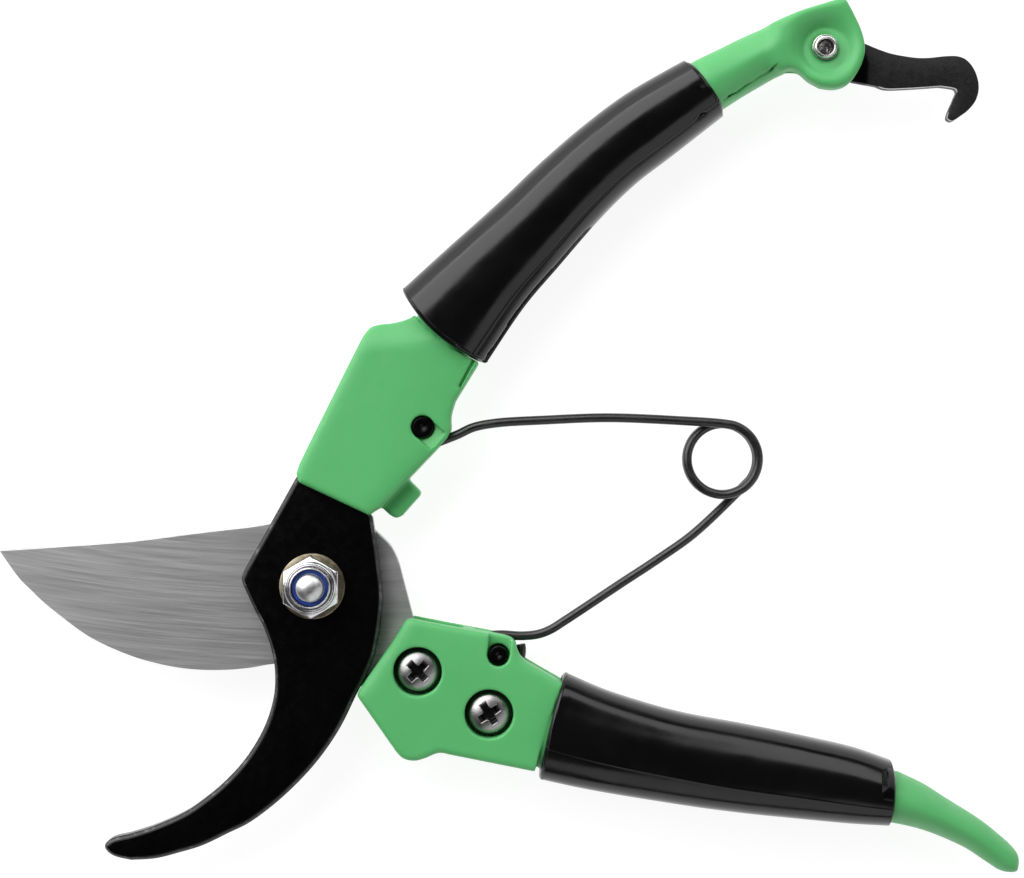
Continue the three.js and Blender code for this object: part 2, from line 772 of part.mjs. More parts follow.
// A hexagon with its outer corners turned off at the top, the bottom, or both.
function chamferedHexagon(centre, acrossFlats, low, high, ends) {
  const corner = acrossFlats / Math.sqrt(3);
  const inner = acrossFlats / 2 * 0.97;
  const drop = (corner - inner) * 0.5;
  const profile = [
    [0, low],
    [ends.low ? inner : corner + 0.1, low],
    [corner + 0.1, ends.low ? low + drop : low],
    [corner + 0.1, ends.high ? high - drop : high],
    [ends.high ? inner : corner + 0.1, high],
    [0, high],
  ].filter(([radius, z], i, all) => i === 0 || radius !== all[i - 1][0] || z !== all[i - 1][1]);
  return plate(hexagon(centre, acrossFlats, Math.PI / 6), low, high).intersect(turned(centre, profile, 36));
}

function pivotBolt() {
  const head = chamferedHexagon([0, 0], hexAcrossFlats, 0, boltHeadHeight, { low: true, high: false });
  const top = nutHigh + boltEndStandout;
  const shank = turned([0, 0], [
    [0, 1],
    [pivotRadius, 1],
    [pivotRadius, top - 0.6],
    [pivotRadius - 0.6, top],
    [0, top],
  ], 32);
  return join(head, shank);
}

function pivotNut() {
  const ends = { low: false, high: true };
  const hexPart = chamferedHexagon([0, 0], hexAcrossFlats, nutLow, nutLow + hexHeight, ends);
  const collar = turned([0, 0], [
    [0, nutLow + 1],
    [4.7, nutLow + 1],
    [4.6, nutLow + hexHeight + 0.4],
    [4.3, nutHigh - 0.5],
    [3.95, nutHigh],
    [0, nutHigh],
  ], 32);
  const bore = rod([0, 0], pivotRadius + gap, 0, nutHigh + 1, 32);
  const insertSeat = rod([0, 0], insertRadius + 0.25, insertLow - gap, nutHigh + 1, 32);
  return cut(join(hexPart, collar), bore, insertSeat);
}

function nutInsert() {
  return ring([0, 0], pivotRadius + 0.15, insertRadius, insertLow, insertHigh);
}

function washer(low) {
  return ring([0, 0], pivotRadius + gap, washerRadius, low, low + washerThickness, 32);
}

function handleScrew(centre, turn) {
  const high = screwHeadLow + screwHeadHeight;
  const body = turned(centre, [
    [0, 0.6],
    [screwShankRadius, 0.6],
    [screwShankRadius, screwHeadLow],
    [screwHeadRadius, screwHeadLow],
    [screwHeadRadius, screwHeadLow + 0.9],
    [screwHeadRadius - 0.5, high - 0.55],
    [screwHeadRadius - 1.5, high - 0.12],
    [0, high],
  ], 20);
  const arms = [0, Math.PI / 2].map((quarter) => {
    const bar = new THREE.BoxGeometry(4.2, 1.1, 3);
    bar.rotateZ(turn + quarter);
    bar.translate(centre[0], centre[1], high);
    return solid(bar);
  });
  return cut(body, ...arms);
}

function screwWasher(centre) {
  const high = screwHeadLow - gap;
  return ring(centre, screwShankRadius + gap, counterboreRadius - gap, high - screwWasherThickness, high, 20);
}

function screwNut(centre) {
  const body = plate(hexagon(centre, screwNutAcrossFlats), screwNutLow, screwNutLow + screwNutThickness);
  return cut(body, rod(centre, screwShankRadius + gap, 0, cutHigh));
}

function springPin(centre, radius, low, high) {
  return turned(centre, [
    [0, low],
    [radius, low],
    [radius, high - 0.3],
    [radius - 0.3, high],
    [0, high],
  ], 20);
}

// ---- catch ------------------------------------------------------------------------------

function catchHook() {
  const shape = outline([
    [96.3, 101.4],
    [101.4, 99.3],
    { through: [[105.6, 97.7], [109.9, 96.9], [112.8, 96.8], [115.7, 97.1], [118.2, 97.1], [120.0, 96.3]] },
    { through: [[121.4, 94.4], [122.1, 91.8], [121.7, 89.3], [120.2, 87.2], [117.9, 85.5]] },
    { through: [[117.1, 85.2], [116.3, 85.7], [116.5, 86.8]] },
    [118.1, 90.5],
    { through: [[117.6, 91.2], [115.0, 91.6]] },
    { through: [[109.2, 91.2], [105.2, 91.1], [103.3, 91.7]] },
    [99.0, 92.5],
    { through: [[96.6, 93.6], [93.5, 93.2], [90.6, 94.6], [89.3, 97.6], [90.1, 100.8], [93.0, 102.4]] },
  ]);
  const low = midHeight - catchThickness / 2;
  const body = plate(shape, low, low + catchThickness, 0.25);
  return cut(body, rod(catchPivot, rivetRadius + gap, 0, cutHigh));
}

function catchRivet() {
  return turned(catchPivot, [
    [rivetBoreRadius, rivetLow],
    [rivetFlangeRadius, rivetLow],
    [rivetFlangeRadius, rivetLow + 0.6],
    [rivetRadius, rivetLow + 1],
    [rivetRadius, rivetRimLow],
    [rivetRimRadius, rivetRimLow],
    [rivetRimRadius, rivetHigh - 0.35],
    [rivetRimRadius - 0.35, rivetHigh],
    [rivetBoreRadius + 0.4, rivetHigh],
    [rivetBoreRadius, rivetHigh - 0.6],
    [rivetBoreRadius, rivetLow],
  ], 20);
}

function catchWasher() {
  return ring(catchPivot, rivetRadius + gap, 2.35, 12.75, 12.95, 20);
}

// ---- assembly ------------------------------------------------------------------------------

const finishes = {
  coatedSteel: { color: 0x0b0b0c, roughness: 0.5, metalness: 0.3 },
  brushedSteel: { color: 0x9b9b9b, roughness: 0.38, metalness: 1 },
  greenPlastic: { color: 0x5eb66e, roughness: 0.5, metalness: 0 },
  blackVinyl: { color: 0x0a0a0a, roughness: 0.25, metalness: 0 },
  zincPlate: { color: 0xc9c8cc, roughness: 0.25, metalness: 1 },
  yellowZinc: { color: 0x8a7650, roughness: 0.35, metalness: 1 },
  blueNylon: { color: 0x2c4f96, roughness: 0.45, metalness: 0 },
  nickelSteel: { color: 0xb8b4b2, roughness: 0.22, metalness: 1 },
  blackSteel: { color: 0x0c0c0d, roughness: 0.35, metalness: 0.5 },
  darkSteel: { color: 0x2b2b2b, roughness: 0.5, metalness: 0.6 },
};

const shears = new THREE.Group();

function place(name, body, finish) {
  const mesh = new THREE.Mesh(geometryOf(body), new THREE.MeshStandardMaterial(finishes[finish]));
  mesh.name = name;
  shears.add(mesh);
}

place('hook_blade', hookBlade(), 'coatedSteel');
place('blade', cuttingBlade(), 'brushedSteel');
place('upper_handle', upperHandle(), 'greenPlastic');
place('lower_handle', lowerHandle(), 'greenPlastic');
place('upper_grip', cut(sleeve(upperGripStations, gripBow[0], 'inner'), upperGrooves()), 'blackVinyl');
place('lower_grip', cut(sleeve(lowerGripStations, gripBow[1], 'outer'), lowerGrooves()), 'blackVinyl');
place('pivot_bolt', pivotBolt(), 'zincPlate');
place('pivot_nut', pivotNut(), 'zincPlate');
place('nut_insert', nutInsert(), 'blueNylon');
place('front_washer', washer(frontWasherLow), 'yellowZinc');
place('rear_washer', washer(rearWasherLow), 'yellowZinc');
place('upper_spring_pin', springPin(upperPinCentre, upperPinRadius, pinLow, upperPinHigh), 'blackSteel');
place('lower_spring_pin', springPin(lowerPinCentre, lowerPinRadius, pinLow, lowerPinHigh), 'blackSteel');
place('spring_upper', wire(upperWirePoints(), wireRadius, 72), 'blackSteel');
place('spring_lower', wire(lowerWirePoints(), wireRadius, 72), 'blackSteel');
['front', 'rear'].forEach((where, i) => {
  const turn = THREE.MathUtils.degToRad(i === 0 ? 45 : 33);
  place(`handle_screw_${where}`, handleScrew(screwCentres[i], turn), 'nickelSteel');
  place(`screw_washer_${where}`, screwWasher(screwCentres[i]), 'blackSteel');
  place(`screw_nut_${where}`, screwNut(screwCentres[i]), 'zincPlate');
});
place('catch_hook', catchHook(), 'darkSteel');
place('catch_rivet', catchRivet(), 'nickelSteel');
place('catch_washer', catchWasher(), 'nickelSteel');

export default shears;
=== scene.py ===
"""Bypass pruning shears, lying open on their back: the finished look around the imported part.

Shapes are written in millimetres and made in metres. Moulded and forged pieces come from signed
distance fields, which give them real fillets; plates, turned pieces, sleeves and wire are meshed directly.
"""

import json
import math

import bmesh
import bpy
import numpy as np
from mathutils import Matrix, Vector


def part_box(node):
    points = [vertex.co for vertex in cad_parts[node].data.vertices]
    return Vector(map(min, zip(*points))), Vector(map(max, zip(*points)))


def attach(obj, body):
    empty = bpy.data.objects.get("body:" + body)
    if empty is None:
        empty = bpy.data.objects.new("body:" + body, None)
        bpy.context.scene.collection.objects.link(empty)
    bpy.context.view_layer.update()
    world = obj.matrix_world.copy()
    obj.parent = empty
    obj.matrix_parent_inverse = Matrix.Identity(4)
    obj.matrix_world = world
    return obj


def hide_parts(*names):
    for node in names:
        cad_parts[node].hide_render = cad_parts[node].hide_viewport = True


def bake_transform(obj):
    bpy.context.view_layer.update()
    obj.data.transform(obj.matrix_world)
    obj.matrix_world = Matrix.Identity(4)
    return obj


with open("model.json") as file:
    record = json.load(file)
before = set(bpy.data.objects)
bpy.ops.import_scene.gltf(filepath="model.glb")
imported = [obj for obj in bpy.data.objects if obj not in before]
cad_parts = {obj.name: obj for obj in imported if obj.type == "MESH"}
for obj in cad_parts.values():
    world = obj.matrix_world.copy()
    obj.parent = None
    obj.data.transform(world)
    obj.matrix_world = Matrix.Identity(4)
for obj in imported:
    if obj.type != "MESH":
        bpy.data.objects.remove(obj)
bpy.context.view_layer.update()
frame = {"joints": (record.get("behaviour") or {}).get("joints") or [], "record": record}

MM = 0.001
GAP = 0.3


# ---- places and sizes that the frame gives, in millimetres ------------------------------------

def span(node):
    low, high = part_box(node)
    return np.array(low) / MM, np.array(high) / MM


def centre_of(node):
    low, high = span(node)
    return (low + high)[:2] / 2


def heights(node):
    low, high = span(node)
    return low[2], high[2]


def joint_place(name):
    joint = next(j for j in frame["joints"] if j["name"] == name)
    return np.array(joint["pos_m"]) / MM


HOOK_LOW, HOOK_HIGH = heights("hook_blade")
BLADE_LOW, BLADE_HIGH = heights("blade")
NUT_LOW, NUT_HIGH = heights("pivot_nut")
BOLT_LOW, BOLT_HIGH = heights("pivot_bolt")
BLOCK_LOW, BLOCK_HIGH = 1.8, 14.2
MID = joint_place("spring_coil")[2]
UPPER_PIN = centre_of("upper_spring_pin")
LOWER_PIN = centre_of("lower_spring_pin")
CATCH_PIVOT = centre_of("catch_rivet")
SCREWS = [centre_of("screw_washer_front"), centre_of("screw_washer_rear")]
COIL_CENTRE = joint_place("spring_coil")[:2]

PIVOT_RADIUS = 3.0
PIVOT_HOLE = PIVOT_RADIUS + GAP
SCREW_HOLE = 2.1
RIVET_HOLE = 1.8
ABOVE = 20  # clear of everything on top
WIRE_RADIUS = 0.84
COIL_RADIUS = 6.5
COIL_PITCH = 1.9
COIL_TURNS = 2.39
WIRE_STEP = 0.35
UPPER_ARM = MID + COIL_PITCH * COIL_TURNS / 2
LOWER_ARM = MID - COIL_PITCH * COIL_TURNS / 2
WIRE_SLOT = 1.1
UPPER_EYE = 3.5
CATCH_THICKNESS = 3.0

# Turn of each spring arm about its own pin as the handles close.
closing = math.radians(next(j for j in frame["joints"] if j["name"] == "pivot")["range_deg"][1])
ratio = {c["joint"]: c["ratio"] for c in frame["record"]["behaviour"]["couplings"]}
UPPER_TRAVEL = ratio["spring_eye"] * closing
LOWER_TRAVEL = (ratio["spring_eye"] + ratio["spring_coil"] - 1) * closing


# ---- curves and outlines ----------------------------------------------------------------------

def catmull(points, ts):
    """Places on the uniform Catmull-Rom curve through points, for ts from 0 to 1."""
    p = np.asarray(points, float)
    s = np.clip(np.asarray(ts, float), 0, 1) * (len(p) - 1)
    i = np.minimum(s.astype(int), len(p) - 2)
    w = (s - i)[:, None]
    before, a, b, after = p[np.maximum(i - 1, 0)], p[i], p[i + 1], p[np.minimum(i + 2, len(p) - 1)]
    leave, arrive = (b - before) / 2, (after - a) / 2
    cubic, square = 2 * a - 2 * b + leave + arrive, 3 * b - 3 * a - 2 * leave - arrive
    return cubic * w**3 + square * w**2 + leave * w + a


def outline(parts, step=0.4):
    """A closed outline: a tuple is a corner, and a list is a smooth curve on from the last point."""
    points = [np.array(parts[0], float)]
    for part in parts[1:]:
        if isinstance(part, tuple):
            points.append(np.array(part, float))
            continue
        stops = [points[-1], *part]
        length = sum(math.dist(a, b) for a, b in zip(stops, stops[1:]))
        count = max(4, int(length / step))
        points += list(catmull(stops, np.linspace(0, 1, count + 1)[1:]))
    points = np.array(points)
    x, y = points.T
    if np.sum(x * np.roll(y, -1) - y * np.roll(x, -1)) < 0:
        points = points[::-1]
    keep = np.linalg.norm(points - np.roll(points, 1, 0), axis=1) > 1e-3
    return points[keep]


def rounded(points, radius, steps=6):
    """The outline with each sharp corner turned into an arc-like curve of about that radius."""
    made = []
    count = len(points)
    for i in range(count):
        before, here, after = points[i - 1], points[i], points[(i + 1) % count]
        a, b = before - here, after - here
        la, lb = np.linalg.norm(a), np.linalg.norm(b)
        bend = math.acos(np.clip(np.dot(a, b) / (la * lb), -1, 1))
        reach = min(radius / max(math.tan(bend / 2), 0.2), 0.45 * la, 0.45 * lb)
        if math.pi - bend < math.radians(18):
            made.append(here)
            continue
        start, end = here + a / la * reach, here + b / lb * reach
        for t in np.linspace(0, 1, steps):
            made.append((1 - t)**2 * start + 2 * t * (1 - t) * here + t * t * end)
    return np.array(made)


def circle(centre, radius, count=96):
    angle = np.linspace(0, 2 * math.pi, count, endpoint=False)
    return np.stack([centre[0] + radius * np.cos(angle), centre[1] + radius * np.sin(angle)], 1)


def turn_about(points, centre, angle):
    d = np.asarray(points, float) - centre
    c, s = math.cos(angle), math.sin(angle)
    return np.stack([centre[0] + d[:, 0] * c - d[:, 1] * s, centre[1] + d[:, 0] * s + d[:, 1] * c], 1)


def inward(points):
    """The way into a counter-clockwise outline at each point, longer at a corner, as a mitre is."""
    edge = np.roll(points, -1, 0) - points
    edge /= np.linalg.norm(edge, axis=1)[:, None]
    normal = np.stack([-edge[:, 1], edge[:, 0]], 1)
    way = normal + np.roll(normal, 1, 0)
    way /= np.maximum(np.linalg.norm(way, axis=1), 1e-6)[:, None]
    return way / np.clip(np.sum(way * normal, 1), 0.5, 1)[:, None]


# ---- meshes -----------------------------------------------------------------------------------

def finish_piece(name, mesh, materials, body, nodes, sharp=None):
    for material in materials:
        mesh.materials.append(material)
    mesh.shade_smooth()
    if sharp:
        mesh.set_sharp_from_angle(angle=math.radians(sharp))
    piece = bpy.data.objects.new(name, mesh)
    bpy.context.scene.collection.objects.link(piece)
    if body:
        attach(piece, body)
    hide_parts(*nodes)
    return piece


def mesh_of(name, vertices, faces):
    mesh = bpy.data.meshes.new(name)
    mesh.from_pydata((np.asarray(vertices) * MM).tolist(), [], [list(f) for f in faces])
    mesh.validate()
    return mesh


def ring_faces(rings, around, closed=False):
    """Quads between successive rings of vertices, and from the last ring to the first when closed."""
    i = np.arange(around)
    j = (i + 1) % around
    pairs = [(r, (r + 1) % rings) for r in range(rings if closed else rings - 1)]
    return [quad for a, b in pairs
            for quad in np.stack([a * around + i, a * around + j,
                                  b * around + j, b * around + i], 1).tolist()]


def plate_mesh(name, outer, profile, holes=(), mark=None):
    """A plate with a profile of (inset, height) steps round its rim, from its back face to its front face.

    An inset may be one number or one for each point of the outline. mark(step) gives the material index
    of each step of the rim.
    """
    bm = bmesh.new()
    caps = {0: [], 1: []}

    def wall(points, steps, outward, marked):
        way = inward(points) if outward else -inward(points)
        rows = []
        for inset, height in steps:
            place = points + way * np.reshape(inset, (-1, 1))
            rows.append([bm.verts.new((x * MM, y * MM, height * MM)) for x, y in place])
        count = len(points)
        for k in range(len(rows) - 1):
            for i in range(count):
                j = (i + 1) % count
                quad = [rows[k][i], rows[k][j], rows[k + 1][j], rows[k + 1][i]]
                face = bm.faces.new(quad if outward else quad[::-1])
                if marked and mark:
                    face.material_index = mark(k)
        for side, row in ((0, rows[0]), (1, rows[-1])):
            caps[side] += [bm.edges.get((row[i], row[(i + 1) % count])) for i in range(count)]

    wall(outer, profile, True, True)
    for hole in holes:
        wall(hole, [(0, profile[0][1]), (0, profile[-1][1])], False, False)
    for side, up in ((0, -1), (1, 1)):
        bmesh.ops.triangle_fill(bm, use_beauty=True, edges=caps[side], normal=(0, 0, up))
    bmesh.ops.recalc_face_normals(bm, faces=bm.faces)
    mesh = bpy.data.meshes.new(name)
    bm.to_mesh(mesh)
    bm.free()
    return mesh


def turned_mesh(name, centre, profile, around=96):
    """A round body from (radius, height) steps. It closes on the axis, or on itself when no radius is 0."""
    angle = np.linspace(0, 2 * math.pi, around, endpoint=False)
    on_axis = profile[0][0] == 0
    steps = profile[1:-1] if on_axis else profile
    vertices = []
    for radius, height in steps:
        x, y = centre[0] + radius * np.cos(angle), centre[1] + radius * np.sin(angle)
        vertices += np.stack([x, y, np.full(around, height)], 1).tolist()
    faces = ring_faces(len(steps), around, closed=not on_axis)
    if on_axis:
        for end, row in ((profile[0], 0), (profile[-1], len(steps) - 1)):
            hub = len(vertices)
            vertices.append([centre[0], centre[1], end[1]])
            first = row * around
            for i in range(around):
                a, b = first + i, first + (i + 1) % around
                faces.append([b, a, hub] if row == 0 else [a, b, hub])
    return mesh_of(name, vertices, faces)


def soft_corners(profile, radius, steps=5):
    """A turned profile with its inner corners rounded; the two ends stay."""
    points = [np.array(p, float) for p in profile]
    made = [points[0]]
    for before, here, after in zip(points, points[1:], points[2:]):
        a, b = before - here, after - here
        la, lb = np.linalg.norm(a), np.linalg.norm(b)
        reach = min(radius, 0.45 * la, 0.45 * lb)
        start, end = here + a / la * reach, here + b / lb * reach
        for t in np.linspace(0, 1, steps):
            made.append((1 - t)**2 * start + 2 * t * (1 - t) * here + t * t * end)
    return [tuple(p) for p in [*made, points[-1]]]


# ---- distance fields ----------------------------------------------------------------------------

def smooth_max(a, b, k):
    """The larger of two distances, with the crease between them rounded over about k."""
    over = np.maximum(k - np.abs(a - b), 0) / k
    return np.maximum(a, b) + over * over * (k / 4)


def smooth_min(a, b, k):
    return -smooth_max(-a, -b, k)


class Field:
    """A grid of places in millimetres, and the signed distances to shapes on it: negative is inside."""

    def __init__(self, low, high, cell):
        self.low, self.cell = np.array(low, float), cell
        axes = [np.arange(a, b + cell, cell, dtype=np.float32) for a, b in zip(low, high)]
        self.x, self.y, self.z = axes[0][:, None, None], axes[1][None, :, None], axes[2][None, None, :]

    def slab(self, low, high):
        return np.maximum(low - self.z, self.z - high)

    def disc(self, centre, radius):
        return np.hypot(self.x - centre[0], self.y - centre[1]) - radius

    def polyline(self, points, closed):
        """Distance in plan to a line of points, and how far along it the nearest place is, from 0."""
        best = np.full((self.x.size, self.y.size, 1), 1e9, np.float32)
        along = np.zeros_like(best)
        inside = np.zeros(best.shape, bool)
        ends = np.roll(points, -1, 0) if closed else points[1:]
        for i, ((ax, ay), (bx, by)) in enumerate(zip(points, ends)):
            ex, ey = bx - ax, by - ay
            wx, wy = self.x - ax, self.y - ay
            t = np.clip((wx * ex + wy * ey) / (ex * ex + ey * ey), 0, 1)
            d = (wx - ex * t)**2 + (wy - ey * t)**2
            nearer = d < best
            best = np.where(nearer, d, best)
            along = np.where(nearer, i + t, along)
            if closed and ey:
                inside ^= ((self.y >= ay) != (self.y >= by)) & (self.x < ax + wy * (ex / ey))
        return np.sqrt(best), along, inside

    def plan(self, points):
        distance, _, inside = self.polyline(points, True)
        return np.where(inside, -distance, distance)

    def prism(self, points, low, high, soft=0.0):
        return self.close(self.plan(points), low, high, soft)

    def rod(self, centre, radius, low, high, soft=0.0):
        return self.close(self.disc(centre, radius), low, high, soft)

    def close(self, plan, low, high, soft):
        slab = self.slab(low, high)
        return smooth_max(plan, slab, soft) if soft else np.maximum(plan, slab)

    def slope(self, place, way, degrees):
        """The half space under a plane through place that falls towards way at that angle."""
        way = np.array(way, float) / np.hypot(*way)
        tilt = math.radians(degrees)
        run = (self.x - place[0]) * way[0] + (self.y - place[1]) * way[1]
        return run * math.sin(tilt) + (self.z - place[2]) * math.cos(tilt)

    def channel(self, path, height, radius):
        distance, _, _ = self.polyline(path, False)
        return np.hypot(distance, self.z - height) - radius

    def rim(self, stations, bow):
        """How far places lie outside a bar's first end, whose middle stands out by bow."""
        outer, inner, _ = rails(stations, [0, 0.02])
        centre = (outer + inner) / 2
        across = (outer[0] - inner[0]) / math.dist(outer[0], inner[0])
        way = (centre[0] - centre[1]) / np.linalg.norm(centre[0] - centre[1])
        dx, dy = self.x - centre[0, 0], self.y - centre[0, 1]
        u = (dx * across[0] + dy * across[1]) / (math.dist(outer[0], inner[0]) / 2)
        return dx * way[0] + dy * way[1] - bow * np.maximum(0, 1 - u * u)

    def bar(self, stations, inset=(0, 0, 0), lengthen=(0, 0), soft_ends=(0.05, 0.05)):
        """A bar between two rails in plan, with superelliptic sections. inset is outer, inner, height."""
        ts = np.linspace(0, 1, 90)
        outer, inner, section = rails(stations, ts)
        across = outer - inner
        width = np.linalg.norm(across, axis=1)
        across /= width[:, None]
        outer = outer - across * inset[0]
        inner = inner + across * inset[1]
        centre = (outer + inner) / 2
        half = np.linalg.norm(outer - inner, axis=1) / 2
        _, along, _ = self.polyline(centre, False)
        index = np.arange(len(ts))

        def at(values):
            return np.interp(along, index, values).astype(np.float32)

        u = ((self.x - at(centre[:, 0])) * at(across[:, 0]) + (self.y - at(centre[:, 1])) * at(across[:, 1]))
        w, h, power = at(half), at(section[:, 0] - inset[2]), at(section[:, 1])
        u, v = np.abs(u / w) + 1e-4, np.abs((self.z - MID) / h) + 1e-4
        total = u**power + v**power
        value = total**(1 / power)
        steep = value / total * np.hypot(u**(power - 1) / w, v**(power - 1) / h)
        body = (value - 1) / steep
        for a, b, extra, soft in ((centre[0], centre[1], lengthen[0], soft_ends[0]),
                                  (centre[-1], centre[-2], lengthen[1], soft_ends[1])):
            way = (a - b) / np.linalg.norm(a - b)
            end = (self.x - a[0]) * way[0] + (self.y - a[1]) * way[1] - extra
            body = smooth_max(body, end, soft)
        return body

    def surface(self, name, values):
        """The zero surface as quads: one vertex in each cell that it passes through."""
        values = np.ascontiguousarray(values, np.float32)
        inside = values < 0
        nx, ny, nz = (n - 1 for n in values.shape)
        total = np.zeros((nx, ny, nz), np.int8)
        for i in (0, 1):
            for j in (0, 1):
                for k in (0, 1):
                    total += inside[i:nx + i, j:ny + j, k:nz + k]
        active = (total > 0) & (total < 8)
        cells = np.argwhere(active)
        index = np.full(active.shape, -1, np.int32)
        index[active] = np.arange(len(cells))
        place, hits = np.zeros((len(cells), 3)), np.zeros(len(cells))
        unit = np.eye(3, dtype=int)
        for axis in range(3):
            u, v = unit[(axis + 1) % 3], unit[(axis + 2) % 3]
            for offset in (0 * u, u, v, u + v):
                a = cells + offset
                b = a + unit[axis]
                va, vb = values[tuple(a.T)], values[tuple(b.T)]
                crossed = (va < 0) != (vb < 0)
                t = np.where(crossed, va / np.where(crossed, va - vb, 1), 0)
                place[crossed] += (a + t[:, None] * unit[axis])[crossed]
                hits[crossed] += 1
        place /= hits[:, None]
        faces = []
        for axis in range(3):
            u, v = unit[(axis + 1) % 3], unit[(axis + 2) % 3]
            first = inside[tuple(slice(0, n - unit[axis][i]) for i, n in enumerate(inside.shape))]
            second = inside[tuple(slice(unit[axis][i], n) for i, n in enumerate(inside.shape))]
            for out in (True, False):
                g = np.argwhere(first & ~second if out else ~first & second)
                g = g[np.all(g >= u + v, 1)]
                ring = [g - u - v, g - v, g, g - u]
                quad = np.stack([index[tuple(c.T)] for c in (ring if out else ring[::-1])], 1)
                faces.append(quad[np.all(quad >= 0, 1)])
        return mesh_of(name, self.low + place * self.cell, np.concatenate(faces).tolist())


def rails(stations, ts):
    s = np.asarray(stations, float)
    return catmull(s[:, 0:2], ts), catmull(s[:, 2:4], ts), catmull(s[:, 4:6], ts)


# ---- finishes -----------------------------------------------------------------------------------

class Finish:
    """One procedural material: a Principled shader and the nodes that vary it."""

    def __init__(self, name, **fixed):
        self.material = bpy.data.materials.new(name)
        self.material.use_nodes = True
        self.tree = self.material.node_tree
        self.shader = self.tree.nodes["Principled BSDF"]
        for socket, value in fixed.items():
            self.shader.inputs[socket.replace("_", " ")].default_value = value
        self.place = self.node("ShaderNodeTexCoord").outputs["Object"]
        self.height = None

    def node(self, kind, **settings):
        made = self.tree.nodes.new(kind)
        for key, value in settings.items():
            setattr(made, key, value)
        return made

    def feed(self, socket, value):
        if isinstance(value, bpy.types.NodeSocket):
            self.tree.links.new(value, socket)
        else:
            socket.default_value = value

    def maths(self, operation, *values):
        made = self.node("ShaderNodeMath", operation=operation)
        for socket, value in zip(made.inputs, values):
            self.feed(socket, value)
        return made.outputs[0]

    def noise(self, scale, detail=3.0, rough=0.55, place=None):
        made = self.node("ShaderNodeTexNoise")
        self.feed(made.inputs["Vector"], place or self.place)
        made.inputs["Scale"].default_value = scale
        made.inputs["Detail"].default_value = detail
        made.inputs["Roughness"].default_value = rough
        return made.outputs["Fac"]

    def spread(self, value, low, high, start=0.35, end=0.65):
        made = self.node("ShaderNodeMapRange")
        for socket, number in zip(made.inputs[:5], (value, start, end, low, high)):
            self.feed(socket, number)
        return made.outputs[0]

    def blend(self, factor, a, b):
        made = self.node("ShaderNodeMix", data_type="RGBA")
        self.feed(made.inputs["Factor"], factor)
        for socket, colour in (("A", a), ("B", b)):
            found = [s for s in made.inputs if s.name == socket and s.type == "RGBA"][0]
            self.feed(found, colour if isinstance(colour, bpy.types.NodeSocket) else (*colour, 1))
        return [s for s in made.outputs if s.type == "RGBA"][0]

    def colour(self, value):
        self.feed(self.shader.inputs["Base Color"], value)

    def roughness(self, value):
        self.feed(self.shader.inputs["Roughness"], value)

    def bump(self, height, distance, strength=1.0):
        made = self.node("ShaderNodeBump")
        made.inputs["Strength"].default_value = strength
        made.inputs["Distance"].default_value = distance
        self.feed(made.inputs["Height"], height)
        if self.height:
            self.feed(made.inputs["Normal"], self.height)
        self.height = made.outputs["Normal"]
        self.feed(self.shader.inputs["Normal"], self.height)

    def side_of(self, a, b, soft=0.0003):
        """0 on the right of the line from a to b in plan, and 1 on its left."""
        split = self.node("ShaderNodeSeparateXYZ")
        self.feed(split.inputs[0], self.place)
        way = np.array(b) - np.array(a)
        way = way / np.linalg.norm(way)
        left = self.maths("SUBTRACT", self.maths("MULTIPLY", split.outputs[1], way[0]),
                          self.maths("MULTIPLY", split.outputs[0], way[1]))
        start = (a[1] * way[0] - a[0] * way[1]) * MM
        return self.spread(left, 0, 1, start - soft, start + soft)

    def ruled(self, centre, across, along):
        """A place that follows arcs round centre: fine across them and long along them."""
        split = self.node("ShaderNodeSeparateXYZ")
        self.feed(split.inputs[0], self.place)
        x = self.maths("SUBTRACT", split.outputs[0], centre[0])
        y = self.maths("SUBTRACT", split.outputs[1], centre[1])
        squares = self.maths("ADD", self.maths("MULTIPLY", x, x), self.maths("MULTIPLY", y, y))
        reach = self.maths("SQRT", squares)
        turn = self.maths("ARCTAN2", x, self.maths("MULTIPLY", y, -1.0))
        made = self.node("ShaderNodeCombineXYZ")
        self.feed(made.inputs[0], self.maths("MULTIPLY", reach, across))
        self.feed(made.inputs[1], self.maths("MULTIPLY", turn, along))
        self.feed(made.inputs[2], self.maths("MULTIPLY", split.outputs[2], across))
        return made.outputs[0]


def moulded_green():
    f = Finish("green_plastic", IOR=1.49, Subsurface_Weight=0.25, Subsurface_Scale=0.002)
    f.shader.inputs["Subsurface Radius"].default_value = (0.3, 1.0, 0.4)
    broad = f.noise(38, 3)
    f.colour(f.blend(f.spread(broad, 0, 1), (0.094, 0.452, 0.142), (0.104, 0.478, 0.156)))
    f.roughness(f.spread(f.noise(420, 4), 0.4, 0.52))
    f.bump(f.noise(2600, 3), 0.000012)
    f.bump(f.noise(70, 2), 0.00012)
    return f.material


def black_vinyl():
    f = Finish("black_vinyl", IOR=1.5, Specular_IOR_Level=0.43)
    f.colour(f.blend(f.spread(f.noise(60, 4), 0, 1), (0.0012, 0.0012, 0.0012), (0.0024, 0.0024, 0.0024)))
    f.roughness(f.spread(f.noise(130, 5), 0.16, 0.24))
    f.bump(f.noise(55, 3), 0.00022)
    f.bump(f.noise(1500, 3), 0.000005)
    return f.material


def hook_coating():
    f = Finish("hook_coating", IOR=1.45, Specular_IOR_Level=0.22)
    f.colour(f.blend(f.spread(f.noise(90, 4), 0, 1), (0.0004, 0.0004, 0.0005), (0.0011, 0.0011, 0.0012)))
    f.roughness(f.spread(f.noise(700, 4), 0.2, 0.28))
    f.bump(f.noise(3200, 3), 0.00001)
    return f.material


